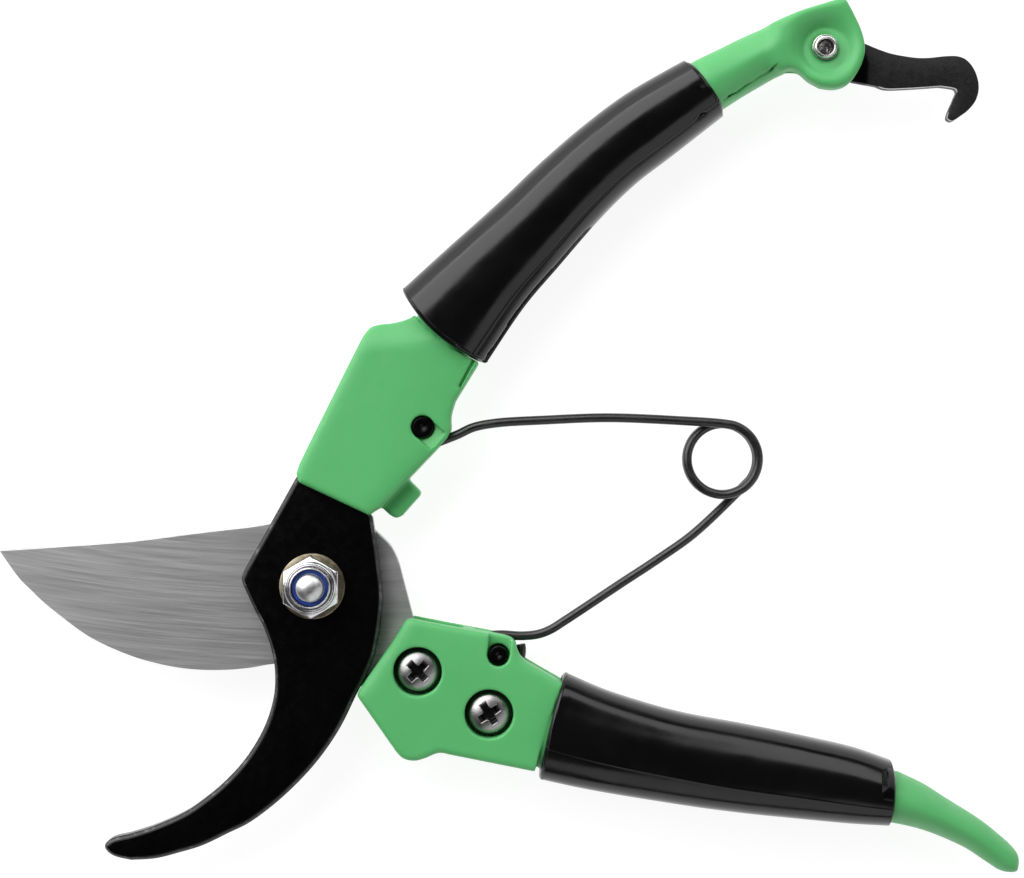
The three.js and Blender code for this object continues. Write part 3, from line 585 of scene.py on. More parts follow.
def worn_edge():
    f = Finish("hook_edge", IOR=1.5)
    wear = f.spread(f.noise(420, 5, 0.7), 0, 1, 0.5, 0.72)
    f.colour(f.blend(wear, (0.02, 0.02, 0.021), (0.16, 0.16, 0.165)))
    f.roughness(0.38)
    f.bump(f.noise(1800, 3), 0.00001)
    return f.material


def ground_steel():
    f = Finish("blade_steel", Metallic=1.0)
    centre = (0.0, 0.285)
    fine = f.noise(1.0, 2, 0.5, f.ruled(centre, 9000, 60))
    lines = f.noise(1.0, 4, 0.6, f.ruled(centre, 3600, 16))
    bands = f.noise(1.0, 2, 0.5, f.ruled(centre, 700, 9))
    marks = f.maths("ADD", f.maths("MULTIPLY", lines, 0.7), f.maths("MULTIPLY", bands, 0.3))
    f.colour(f.blend(f.spread(marks, 0, 1, 0.34, 0.66), (0.46, 0.46, 0.46), (0.64, 0.64, 0.64)))
    f.roughness(f.spread(lines, 0.4, 0.47))
    f.bump(fine, 0.000004)
    f.bump(lines, 0.000004)
    return f.material


def plated(name, colour, rough=(0.14, 0.26), recess_shade=None):
    """Plated metal; painted shade darkens hollows from one height down to another, and the shank lower down
    is left unshaded.
    """
    f = Finish(name, Metallic=1.0)
    dark = tuple(c * 0.86 for c in colour)
    metal = f.blend(f.spread(f.noise(500, 4), 0, 1), dark, colour)
    if recess_shade:
        split = f.node("ShaderNodeSeparateXYZ")
        f.feed(split.inputs[0], f.place)
        # Painted shade: below these heights the metal turns nearly black, standing for shade deep in the
        # cross slots.
        high = f.spread(split.outputs[2], 0, 1, recess_shade[0] * MM, recess_shade[1] * MM)
        shank = f.spread(split.outputs[2], 1, 0, 9 * MM, 10 * MM)
        metal = f.blend(f.maths("MAXIMUM", high, shank), tuple(c * 0.08 for c in colour), metal)
    f.colour(metal)
    f.roughness(f.spread(f.noise(900, 4), *rough))
    f.bump(f.noise(1400, 3), 0.000012)
    return f.material


def yellow_zinc():
    f = Finish("yellow_zinc", Metallic=1.0)
    tint = f.blend(f.spread(f.noise(260, 3), 0, 1), (0.27, 0.22, 0.14), (0.36, 0.32, 0.23))
    f.colour(f.blend(f.spread(f.noise(600, 4), 0, 1, 0.5, 0.7), tint, (0.22, 0.18, 0.12)))
    f.roughness(f.spread(f.noise(800, 4), 0.28, 0.42))
    f.bump(f.noise(1700, 3), 0.00001)
    return f.material


def blue_nylon():
    f = Finish("blue_nylon", IOR=1.53, Subsurface_Weight=0.1, Subsurface_Scale=0.0005)
    f.colour(f.blend(f.spread(f.noise(700, 3), 0, 1), (0.018, 0.06, 0.34), (0.03, 0.1, 0.46)))
    f.roughness(f.spread(f.noise(900, 3), 0.3, 0.42))
    f.bump(f.noise(2400, 2), 0.00001)
    return f.material


def black_oxide():
    f = Finish("spring_steel", IOR=1.6)
    f.colour(f.blend(f.spread(f.noise(300, 4), 0, 1), (0.006, 0.006, 0.006), (0.016, 0.016, 0.016)))
    f.roughness(f.spread(f.noise(700, 4), 0.26, 0.4))
    f.bump(f.noise(2600, 3), 0.000012)
    return f.material


def catch_coating():
    """A matt coating; the catch's base, beside the handle, is painted darker and duller as the handle's
    shadow.
    """
    f = Finish("catch_steel", IOR=1.5)
    # Painted shade: the catch's base beside the handle, where the handle's shadow falls, turns nearly black
    # and loses most of its sheen.
    root_shade = f.maths("MINIMUM", f.side_of((101.9, 95.9), (102.1, 98.9)),
                   f.side_of((103.7, 91.4), (101.8, 96.2)))
    coat = f.blend(f.spread(f.noise(2200, 3), 0, 1), (0.006, 0.006, 0.0065), (0.012, 0.012, 0.0125))
    f.colour(f.blend(root_shade, coat, (0.0004, 0.0004, 0.0004)))
    f.feed(f.shader.inputs["Specular IOR Level"], f.spread(root_shade, 0.34, 0.06, 0, 1))
    f.roughness(f.spread(f.noise(1200, 4), 0.4, 0.55))
    f.bump(f.noise(3400, 3), 0.000014)
    return f.material


def bare_edge():
    """Ground metal on the working edge; the inner side of the tip keeps its coating, and the base beside the
    handle is painted dark as the handle's shadow.
    """
    f = Finish("bare_steel_edge")
    # Painted shade: the base beside the handle gets the dark coating colour, standing for the handle's
    # shadow.
    root_shade = f.side_of((103.9, 91.4), (102.1, 98.9))
    inner = f.maths("MINIMUM", f.side_of((110, 86.7), (122, 86.7)), f.side_of((122, 90.6), (110, 90.6)))
    inner = f.maths("MINIMUM", inner, f.side_of((118.7, 80), (118.7, 90)))
    coat_and_root_shade = f.maths("MAXIMUM", root_shade, inner)
    metal = f.blend(f.spread(f.noise(900, 4), 0, 1), (0.32, 0.32, 0.32), (0.62, 0.62, 0.62))
    f.colour(f.blend(coat_and_root_shade, metal, (0.008, 0.008, 0.008)))
    f.feed(f.shader.inputs["Metallic"], f.spread(coat_and_root_shade, 1, 0, 0, 1))
    f.feed(f.shader.inputs["IOR"], f.spread(coat_and_root_shade, 1.5, 1.03, 0, 1))
    f.roughness(f.spread(f.noise(1500, 3), 0.25, 0.4))
    f.bump(f.noise(2600, 3), 0.00001)
    return f.material


GREEN, VINYL, COATING, WORN = moulded_green(), black_vinyl(), hook_coating(), worn_edge()
STEEL, YELLOW, NYLON, OXIDE = ground_steel(), yellow_zinc(), blue_nylon(), black_oxide()
ZINC = plated("zinc_steel", (0.78, 0.77, 0.79))
NICKEL = plated("nickel_steel", (0.8, 0.78, 0.78), (0.16, 0.3))
SCREW = plated("satin_screw_steel", (0.44, 0.42, 0.43), (0.27, 0.36), (11.9, 12.5))
BOLT = plated("turned_bolt_steel", (0.74, 0.73, 0.74), (0.32, 0.44))
CATCH, BARE = catch_coating(), bare_edge()


# ---- blades -------------------------------------------------------------------------------------

def hook_blade():
    shape = outline([
        (-3.2, 19.5),
        (-7.8, 11.2),
        (-12.5, 2.9),
        [(-13.0, 1.2), (-12.4, -0.5)],
        [(-10.8, -4.0), (-9.0, -7.5), (-7.5, -11.9), (-6.9, -16.0), (-7.2, -20.6), (-8.9, -25.9),
         (-12.1, -31.3), (-16.2, -35.9), (-20.7, -39.6), (-24.2, -41.8), (-29.3, -44.0), (-33.7, -45.4)],
        [(-36.6, -46.1), (-37.9, -47.2), (-37.7, -48.3), (-36.2, -49.4), (-33.2, -50.1)],
        [(-28.7, -49.8), (-24.3, -48.7), (-20.1, -47.4), (-15.5, -45.2), (-11.5, -43.2), (-6.8, -39.7),
         (-2.2, -35.4), (1.6, -31.0), (5.0, -25.9), (7.8, -20.2), (9.85, -16.2), (11.6, -11.3), (12.7, -3.0),
         (12.1, 4.2), (10.9, 12.5)],
        (9.6, 14.6),
        (11.2, 20.0),
        (12.4, 28.0),
        (14.4, 36.0),
        (12.2, 38.5),
        (7.6, 36.4),
        (0.2, 21.1),
        (-2.8, 20.1),
    ])
    top, low = HOOK_HIGH, HOOK_LOW
    profile = [(0.3, low), (0.08, low + 0.08), (0, low + 0.3), (0, top - 0.75), (0.12, top - 0.5),
               (0.55, top - 0.12), (0.75, top - 0.02), (0.9, top)]
    mesh = plate_mesh("hook_blade_fine", shape, profile, [circle((0, 0), PIVOT_HOLE)],
                      mark=lambda step: 1 if step == 4 else 0)
    finish_piece("hook_blade_fine", mesh, [COATING, WORN], "hook_side", ["hook_blade"], 24)


def cutting_blade():
    tip = (-58.0, 6.3)
    spine = [(-45.9, 7.1), (-33.8, 8.0), (-21.8, 9.5), (-8.6, 11.2), (-1, 13.6), (6, 13.2), (11.1, 10.1)]
    heel = [(12.8, 8.5), (14.2, 6.9), (15.5, 4.1), (16.6, 0), (18.1, -5.7)]
    tang = [(18.3, -10.6), (38.2, -22), (40.4, -25.4), (37.5, -28.4), (31, -28.4), (15.4, -21.6)]
    hidden = [(7.7, -18.3), (0, -14.2)]
    edge = [
        (-7.4, -14.6), (-11.7, -15.3), (-16.1, -15.7), (-20.5, -15.7), (-25.0, -15.3), (-29.4, -14.4),
        (-33.8, -13.1), (-39.0, -10.9), (-42.7, -8.8), (-47.1, -5.5), (-49.8, -3.3), (-52.0, -1.2),
        (-54.3, 1.1), (-56.3, 3.8), tip,
    ]
    shape = outline([tip, spine, heel, *tang, *hidden, edge], 0.5)
    x, y = shape.T
    ground = (y < 3.4 - 0.05 * x) & (x < -2) & (y < 5.6)
    start = np.clip((-2 - x) / 7, 0, 1)
    end = np.clip((x - tip[0]) / 12, 0, 1)
    depth = np.where(ground, 3.4 * start * end, 0)
    broken = np.where(ground, 0, 0.12)
    low, high = BLADE_LOW, BLADE_HIGH
    profile = [(depth + broken, low), (depth, low + 0.15), (depth * 0.93, low + 0.6), (0, high - 0.25),
               (0 * x, high - 0.12), (broken + 0.03, high)]
    holes = [circle((0, 0), PIVOT_HOLE), *[circle(place, SCREW_HOLE, 48) for place in SCREWS]]
    mesh = plate_mesh("blade_fine", shape, profile, holes)
    finish_piece("blade_fine", mesh, [STEEL], "blade_side", ["blade"], 24)


# ---- handles and grips ----------------------------------------------------------------------------

GRIP_HALF = 8
UPPER_GRIP = [
    (16.0, 54.1, 31.5, 40.5, GRIP_HALF, 2.6),
    (24.1, 61.5, 38.5, 50.9, GRIP_HALF, 2.5),
    (33.8, 70.2, 45.1, 58.7, GRIP_HALF, 2.4),
    (41.8, 77.8, 52.4, 67.1, GRIP_HALF, 2.4),
    (49.7, 84.6, 59.0, 73.6, GRIP_HALF, 2.4),
    (57.7, 90.5, 66.1, 79.1, GRIP_HALF, 2.4),
    (68.2, 96.5, 75.6, 86.5, GRIP_HALF, 2.4),
]
LOWER_GRIP = [
    (45.9, -16.0, 41.2, -35.6, GRIP_HALF, 2.6),
    (54.4, -19.6, 50.5, -37.6, GRIP_HALF, 2.5),
    (66.5, -23.2, 63.5, -39.8, GRIP_HALF, 2.4),
    (78.5, -25.5, 76.0, -41.6, GRIP_HALF, 2.4),
    (90.5, -27.9, 88.6, -42.9, GRIP_HALF, 2.4),
    (99.5, -30.0, 98.4, -43.8, GRIP_HALF, 2.4),
    (106.2, -32.3, 105.6, -44.2, GRIP_HALF, 2.4),
]
UPPER_TAIL = [
    (69.3, 96.3, 75.7, 87.3, 7.2, 2.0),
    (76.4, 99.8, 80.6, 90.5, 6.2, 1.8),
    (83.7, 102.9, 85.6, 93.8, 6.2, 1.8),
    (90.5, 105.6, 90.0, 94.8, 5.8, 2.2),
]
LOWER_TAIL = [
    (106.6, -34.3, 105.6, -43.6, 7.0, 1.9),
    (111.5, -36.4, 109.3, -44.4, 6.6, 1.8),
    (117.0, -39.7, 113.7, -45.7, 5.6, 1.7),
    (122.5, -43.2, 118.9, -47.9, 4.8, 1.7),
    (126.3, -46.2, 122.7, -50.3, 4.2, 1.7),
    (128.9, -48.7, 125.4, -52.1, 3.7, 1.8),
    (130.0, -50.9, 127.4, -53.3, 3.2, 2.0),
]
GRIP_WALL, GROOVE_WALL, END_WALL = 1.6, 3.2, 0.85
UPPER_BOW, LOWER_BOW = 1.85, 0.4
GROOVE_RADIUS = 1.45
GROOVE_MOUTH = math.radians(2.5)

UPPER_ARM_PLAN = [(26.4, 27.6), (29.2, 28.9), (33.2, 29.7), (42.8, 30.3), (54, 30.7), (66.7, 30.2)]
LOWER_ARM_PLAN = [
    (38.2, -9.6), (41.2, -9.3), (43.4, -8.5), (46.3, -6.7), (56.1, -0.2), (63.7, 4.8), (70, 9.3),
]


def arm_paths(plan, pin, travel, mouth):
    """Where a closed arm lies, and just before it closes."""
    smooth = catmull(plan, np.linspace(0, 1, 24))
    return [turn_about(smooth, pin, travel + back) for back in (0, mouth)]


UPPER_CHANNELS = arm_paths([(24.4, 27.2), *UPPER_ARM_PLAN], UPPER_PIN, UPPER_TRAVEL, -GROOVE_MOUTH)
LOWER_CHANNELS = arm_paths([(35.4, -9.4), *LOWER_ARM_PLAN, (79.1, 18)], LOWER_PIN, LOWER_TRAVEL, GROOVE_MOUTH)


def carve(body, cutters, soft=0.35):
    for cutter in cutters:
        body = smooth_max(body, -cutter, soft)
    return body


def held_neck(f, grip_stations, core, bow, plan):
    """The core in a sleeve; it reaches out of the sleeve only where the block covers it."""
    inside = np.minimum(f.rim(grip_stations, bow) + 0.3, plan + 0.6)
    return np.maximum(f.bar(grip_stations, core, (2, 0)), inside)


def held_tail(f, grip_stations, stations, extra, soft):
    """A tail that starts inside the end of its sleeve, and fits the thin wall there."""
    tail = f.bar(stations, lengthen=(3.2, extra), soft_ends=(0.3, soft))
    inner = f.bar(grip_stations, (END_WALL + GAP, END_WALL + GAP, END_WALL + GAP), (0, 40))
    last = np.array(grip_stations[-1][:4]).reshape(2, 2).mean(0)
    before = np.array(grip_stations[-2][:4]).reshape(2, 2).mean(0)
    way = (last - before) / np.linalg.norm(last - before)
    beyond = (f.x - last[0]) * way[0] + (f.y - last[1]) * way[1] > -0.3
    return np.where(beyond, tail, np.maximum(tail, inner))


def upper_handle():
    f = Field((-4.5, 10.5, 0.8), (103.5, 109.5, 15.2), 0.25)
    shape = rounded(outline([
        (-2.9, 20.5),
        (-2.4, 18.9),
        (10.4, 12.9),
        (12.4, 14.2),
        (24.5, 26.9),
        [(25.2, 28.5), (25.2, 31.0), (26.0, 33.8)],
        (30.0, 40.3),
        (31.6, 43.4),
        (22.5, 53),
        [(21.2, 51.6), (20.1, 50.6), (18.7, 49.6)],
        [(17.7, 48.9), (16.0, 48.3), (14.1, 47.9), (12.2, 47.7), (10.5, 47.1), (9.3, 45.6)],
        (6.9, 40.9),
        (-0.5, 26.0),
        (-2.3, 22.3),
    ]), 0.5)
    block = f.prism(shape, BLOCK_LOW, BLOCK_HIGH, 1.1)
    top = BLOCK_HIGH
    facets = [((14.4, 44.4, top), (-0.05, 1), 27), ((20.8, 36.1, top), (0.967, -0.2), 7.5),
              ((0.2, 26.0, top), (-0.89, 0.45), 22), ((17.0, 20.7, top), (0.73, -0.69), 20)]
    for place, way, degrees in facets:
        block = smooth_max(block, f.slope(place, way, degrees), 0.8)
    tab = f.prism(rounded(outline([
        (15.6, 20.6),
        (17.4, 19.3),
        (19.3, 17.4),
        [(19.6, 16.9), (19.4, 16.3)],
        (16.2, 12.7),
        [(15.1, 12.3), (13.9, 12.9)],
        (12.4, 14.3),
        (10.4, 17),
    ]), 0.3), 3.4, 9.8, 0.9)
    block = smooth_max(block, GAP - f.rim(UPPER_GRIP, UPPER_BOW), 0.2)
    core = (GRIP_WALL + GAP, GROOVE_WALL + GAP, GRIP_WALL + GAP)
    neck = held_neck(f, UPPER_GRIP, core, UPPER_BOW, f.plan(shape))
    tail = held_tail(f, UPPER_GRIP, UPPER_TAIL, 2.0, 0.05)
    boss = f.plan(outline([
        (84.0, 102.6),
        [(86.0, 103.6), (89.8, 105.3), (93.4, 106.4)],
        (95.6, 107.1),
        [(96.9, 107.2), (97.7, 106.5)],
        (98.9, 104.2),
        [(100.0, 101.8), (100.7, 99.2), (100.7, 96.9), (99.7, 94.1), (97.9, 91.6), (95.4, 90.6),
         (92.7, 90.9)],
        [(90.4, 92.1), (88.9, 93.5), (87.4, 94.1), (85.6, 93.9)],
        (84.0, 95.0),
    ]))
    low_inset = 1.3 * np.clip(8 - f.z, 0, 1)
    boss = smooth_max(boss + low_inset, f.slab(BLOCK_LOW + 0.4, BLOCK_HIGH - 0.2), 1.8)
    limit = f.plan(outline([
        (60, 96),
        (64, 92.9),
        [(69.5, 96.0), (74.7, 98.6), (78.4, 100.5), (82.1, 102.1), (85.7, 103.8), (89.4, 105.2),
         (93.1, 106.5)],
        (95.9, 107.3),
        [(97.0, 107.4), (97.8, 106.6)],
        (98.9, 104.6),
        [(100.2, 101.8), (101.0, 99.2), (101.1, 96.9), (99.9, 94.0), (97.8, 91.4), (95.2, 90.5),
         (92.4, 90.7)],
        [(90.3, 92.0), (88.7, 93.4), (87.4, 94.1), (86.1, 93.8), (83.9, 92.6), (80.2, 90.6), (75.0, 87.4)],
        (66, 80),
    ]))
    end = smooth_max(smooth_min(tail, boss, 2.2), limit, 0.6)
    down = (f.x - CATCH_PIVOT[0]) * 0.17 - (f.y - CATCH_PIVOT[1]) * 0.985
    dish_floor = 12.2 + 0.2 * down
    dish_centre = (CATCH_PIVOT[0] + 0.2, CATCH_PIVOT[1] - 0.3)
    cone = f.disc(dish_centre, 4.1) * 0.71 - (f.z - dish_floor) * 0.704
    dish = np.maximum(cone, dish_floor - f.z)
    tear = f.prism(outline([
        (74.6, 88.5), (76.2, 89.7), (77.4, 90.3), (78.9, 91.5), (80.3, 92.2), (81.4, 93.1), (82.9, 93.9),
        (84.6, 95.2), (84.7, 95.0), (83.2, 93.5), (81.6, 92.7), (80.2, 91.9), (79.0, 91.1), (77.6, 90.1),
        (76.1, 89.3),
    ]), 11.6, ABOVE)
    body = smooth_min(smooth_min(block, tab, 0.5), neck, 0.2)
    body = smooth_min(body, end, 0.2)
    tang = f.prism(outline([
        (-12, 5), (13.5, -6), (11.8, 14.2), (10.0, 14.9), (11.55, 20), (12.75, 28), (14.85, 36.1),
        (12.35, 38.95), (7.4, 36.75), (-0.6, 21.4), (-4.6, 20.6),
    ]), HOOK_LOW - GAP, HOOK_HIGH + GAP)
    heel_room = f.rod((0, 0), 18.1, 0, BLADE_HIGH + GAP / 2)
    pocket = f.plan(outline([(18.7, 27.4), (21.5, 24.9), (24.2, 27.9), (21.4, 30.5)]))
    pocket = np.maximum(pocket, 12.1 + 0.22 * ((f.x - 20) * 0.77 - (f.y - 29) * 0.64) - f.z)
    pin_room = f.rod(UPPER_PIN, 2.12, 2.4, ABOVE)
    parting = f.prism(outline([(29.8, 41.2), (27.0, 36.2), (26.6, 36.4), (29.3, 41.5)]), 12.4, ABOVE)
    eye_room = f.rod(UPPER_PIN, UPPER_EYE + 1.7, UPPER_ARM - WIRE_SLOT, UPPER_ARM + WIRE_SLOT)
    arm_room = f.prism(outline([
        (20.1, 23.8), (24, 22), (33, 30), (34, 47), (29.6, 45.2), (26.6, 39.8), (23.6, 34.4),
    ]), UPPER_ARM - WIRE_SLOT, UPPER_ARM + WIRE_SLOT)
    slot_half = CATCH_THICKNESS / 2 + GAP
    catch_slot = f.prism(outline([
        (85.9, 88.0), (86.9, 96.8), (89.4, 102.8), (93.5, 104.6), (104, 104), (104, 84),
    ]), MID - slot_half, MID + slot_half)
    channels = [f.channel(path, UPPER_ARM, GROOVE_RADIUS) for path in UPPER_CHANNELS]
    rivet_room = f.rod(CATCH_PIVOT, RIVET_HOLE, 0, ABOVE)
    rooms = [np.maximum(tang, -f.z), heel_room, pocket, pin_room, eye_room, arm_room, catch_slot, rivet_room,
             *channels]
    body = carve(body, rooms, 0.25)
    body = carve(body, [parting, tear], 0.12)
    body = smooth_max(body, -dish, 1.5)
    mesh = f.surface("upper_handle_fine", body)
    finish_piece("upper_handle_fine", mesh, [GREEN], "hook_side", ["upper_handle"])


def lower_handle():
    f = Field((7.5, -55.5, 0.8), (132, -3.5, 15.2), 0.25)
    shape = rounded(outline([
        (8.4, -20.3),
        [(8.2, -19.8), (8.55, -18.9)],
        (15.0, -9.5),
        (16.5, -7.0),
        [(17.1, -6.2), (18.2, -6.0)],
        (24.9, -7.3),
        (35.1, -9.2),
        [(36.5, -9.8), (37.1, -10.9), (37.5, -12.1), (38.1, -13.1), (39.0, -13.9)],
        (41.0, -15.1),
        (45.9, -17.9),
        (47.4, -18.8),
        (44, -34.4),
        (41.2, -33.9),
        (25.1, -30.7),
        [(23.0, -30.4), (20.4, -31.4), (18.5, -31.8), (16.6, -31.4), (15.3, -30.2)],
    ]), 0.5)
    block = f.prism(shape, BLOCK_LOW, BLOCK_HIGH, 1.3)
    top = BLOCK_HIGH
    facets = [((30.6, -13.7, top), (0.455, 0.89), 9), ((14.2, -12.8, top), (-0.84, 0.54), 24),
              ((11.0, -24.0, top), (-0.86, -0.51), 10)]
    for place, way, degrees in facets:
        block = smooth_max(block, f.slope(place, way, degrees), 0.8)
    block = smooth_max(block, GAP - f.rim(LOWER_GRIP, LOWER_BOW), 0.2)
    core = (GROOVE_WALL + GAP, GRIP_WALL + GAP, GRIP_WALL + GAP)
    neck = held_neck(f, LOWER_GRIP, core, LOWER_BOW, f.plan(shape))
    tail = held_tail(f, LOWER_GRIP, LOWER_TAIL, 0.6, 2.6)
    body = smooth_min(smooth_min(block, neck, 0.2), tail, 0.2)
    blade_tang = f.prism(outline([
        (0, 0), (18.5, -5.0), (18.65, -10.4), (38.4, -21.7), (40.8, -25.4), (37.65, -28.7), (30.9, -28.7),
        (15.2, -21.9), (7, -17.5), (0, -15),
    ]), BLADE_LOW - GAP, BLADE_HIGH + GAP)
    eye_room = f.rod(LOWER_PIN, 5.6, LOWER_ARM - WIRE_SLOT, LOWER_ARM + WIRE_SLOT)
    arm_room = f.prism(outline([
        (29.5, -10), (30, 0), (60, 0), (60, -19.2), (50, -19.2), (46.2, -18.3), (41.5, -16.7), (37, -15.5),
    ]), LOWER_ARM - WIRE_SLOT, LOWER_ARM + WIRE_SLOT)
    pin_room = f.rod(LOWER_PIN, 2.0, 2.4, ABOVE)
    pocket = f.prism(outline([(31.9, -12.6), (32.4, -7.0), (36.6, -7.0), (35.9, -12.6)]), 11.6, ABOVE)
    stop_notch = f.prism(outline([(14, -4), (16.2, -8.6), (27, -10.8), (27.6, -4)]), 3.1, 10.1)
    channels = [f.channel(path, LOWER_ARM, GROOVE_RADIUS) for path in LOWER_CHANNELS]
    screw_rooms = []
    for place in SCREWS:
        screw_rooms += [f.rod(place, 4.45, 9.8, ABOVE), f.rod(place, SCREW_HOLE, 0, ABOVE),
                        f.prism(hexagon(place, 7.6), 0, BLOCK_LOW + 2.6)]
    rooms = [blade_tang, eye_room, arm_room, pin_room, pocket, stop_notch, *channels, *screw_rooms]
    body = carve(body, rooms)
    mesh = f.surface("lower_handle_fine", body)
    finish_piece("lower_handle_fine", mesh, [GREEN], "blade_side", ["lower_handle"])


def hexagon(centre, across_flats, turn=0.0):
    angle = turn + np.arange(6) * math.pi / 3
    reach = across_flats / math.sqrt(3)
    return np.stack([centre[0] + reach * np.cos(angle), centre[1] + reach * np.sin(angle)], 1)


def grip(name, stations, bow, spring_side, channels, height, seam, furrow, dimple, end_steps, body, node):
    """A vinyl sleeve: rings of points over the outside, and back along the wall that clings to the core.

    seam(t) says how far the moulding line lies from the inner edge, in millimetres, and how deep it is.
    furrow(t) is (place across from -1 to 1, depth, width) of a long shallow hollow in the top.
    dimple is how far a small pit lies from the far end and from the seam.
    end_steps are the (shift, inset) steps of the far rim.
    """
    start_round = 0.75
    outer_wall, inner_wall = (GRIP_WALL, GROOVE_WALL) if spring_side == "inner" else (GROOVE_WALL, GRIP_WALL)
    first, last = catmull(stations, [0, 0.02]), catmull(stations, [1, 0.98])

    def way_out(pair):
        middle = (pair[:, 0:2] + pair[:, 2:4]) / 2
        way = middle[0] - middle[1]
        return way / np.linalg.norm(way)

    start_way, end_way = way_out(first), way_out(last)
    outer_run = math.dist(stations[0][0:2], stations[-1][0:2])
    inner_run = math.dist(stations[0][2:4], stations[-1][2:4])
    long = 0.5 * (outer_run + inner_run)
    quarter = np.radians(np.linspace(0, 90, 7))
    count = 210
    # Each ring: t, shift along the start way, shift along the end way, shrink, and 0 outside or 1 inside.
    rings = [(0, -start_round * (1 - math.cos(a)), 0, start_round * (1 - math.sin(a)), 0) for a in quarter]
    rings += [(t, 0, 0, 0, 0) for t in np.linspace(0, 1, count)[3:-3]]
    rings += [(1, 0, shift, shrink, 0) for shift, shrink in end_steps]
    inner = [(t, 0, 0, 0, 1) for t in np.linspace(0, 1, 90)[::-1]]
    rings += inner
    dense = np.linspace(math.pi, 0, 400)
    near = np.array([-0.7, -0.4, -0.25, -0.12, 0, 0.12, 0.25, 0.4, 0.7])
    vertices = []
    for t, shift_start, shift_end, shrink, inside in rings:
        x1, y1, x2, y2, half_height, power = catmull(stations, [t])[0]
        outer, inner_edge = np.array([x1, y1]), np.array([x2, y2])
        across = (outer - inner_edge) / math.dist(outer, inner_edge)
        from_end = (1 - t) * long
        thin = np.clip((from_end - 3.4) / 1.5, 0, 1)
        wall_out = (END_WALL + thin * (outer_wall - END_WALL)) * inside
        wall_in = (END_WALL + thin * (inner_wall - END_WALL)) * inside
        wall_high = (END_WALL + thin * (GRIP_WALL - END_WALL)) * inside
        outer = outer - across * (shrink + wall_out)
        inner_edge = inner_edge + across * (shrink + wall_in)
        half = math.dist(outer, inner_edge) / 2
        tall = half_height - shrink - wall_high
        centre = (outer + inner_edge) / 2 + start_way * shift_start + end_way * shift_end
        c, s = np.cos(dense), np.sin(dense)
        u = np.sign(c) * np.abs(c)**(2 / power)
        v = np.abs(s)**(2 / power)
        length = np.concatenate([[0], np.cumsum(np.hypot(np.diff(u) * half, np.diff(v) * tall))])
        seam_far, seam_deep = seam(t)
        seam_at = np.interp(-1 + seam_far / half, u, length)
        spots = np.concatenate([np.linspace(0, seam_at - 1.0, 18), seam_at + near,
                                np.linspace(seam_at + 1.0, length[-1], 70)])
        uu, vv = np.interp(spots, length, u), np.interp(spots, length, v)
        nu, nv = np.sign(uu) * np.abs(uu)**(power - 1) / half, np.abs(vv)**(power - 1) / tall
        size = np.hypot(nu, nv)
        nu, nv = nu / size, nv / size
        press = np.zeros(len(spots))
        if not inside:
            fade = np.clip(t / 0.05, 0, 1) * np.clip((1 - t) / 0.05, 0, 1)
            press += seam_deep * np.exp(-((spots - seam_at) / 0.16)**2)
            place, deep, wide = furrow(t)
            press += deep * fade * np.exp(-((uu - place) * half / wide)**2)
            if dimple and t < 1:
                press += 0.9 * np.exp(-((spots - seam_at - dimple[1]) / 0.3)**2) * math.exp(
                    -((from_end - dimple[0]) / 0.42)**2)
        u_low, v_low = uu[::-1][1:-1], -vv[::-1][1:-1]
        push = np.maximum(0, 1 - 4 * t) * bow
        for side, (us, vs) in enumerate(((uu, vv), (u_low, v_low))):
            shrunk = press if side == 0 else press[::-1][1:-1]
            nus, nvs = (nu, nv) if side == 0 else (nu[::-1][1:-1], -nv[::-1][1:-1])
            rise = push * (1 - us * us)
            px = centre[0] + across[0] * (half * us - nus * shrunk) + start_way[0] * rise
            py = centre[1] + across[1] * (half * us - nus * shrunk) + start_way[1] * rise
            pz = MID + tall * vs - nvs * shrunk
            vertices.append(np.stack([px, py, pz], 1))
    around = len(vertices[0]) + len(vertices[1])
    points = np.concatenate(vertices)
    outside = (len(rings) - len(inner)) * around
    points[:outside] = press_channels(points[:outside], channels, height, around)
    faces = ring_faces(len(rings), around, closed=True)
    mesh = mesh_of(name, points, faces)
    finish_piece(name, mesh, [VINYL], body, [node])


def press_channels(points, channels, height, around):
    """Moves the outside of a sleeve in until it clears the round channels that the closed arm lies in."""
    rings = points.reshape(-1, around, 3)
    centre = rings.mean(1, keepdims=True)
    inwards = centre - rings
    inwards[:, :, 2] = 0
    inwards /= np.linalg.norm(inwards, axis=2, keepdims=True)
    inwards = inwards.reshape(-1, 3)
    placed = points.copy()
    for _ in range(30):
        reach = np.full(len(placed), 1e9)
        for path in channels:
            a, b = path[:-1], path[1:]
            e = b - a
            w = placed[:, None, :2] - a[None]
            t = np.clip(np.sum(w * e, 2) / np.sum(e * e, 1), 0, 1)
            d = np.linalg.norm(w - t[:, :, None] * e, axis=2).min(1)
            reach = np.minimum(reach, np.hypot(d, placed[:, 2] - height))
        inside = reach < GROOVE_RADIUS
        if not inside.any():
            break
        placed[inside] += inwards[inside] * 0.12
    return placed


# ---- pivot and fasteners --------------------------------------------------------------------------

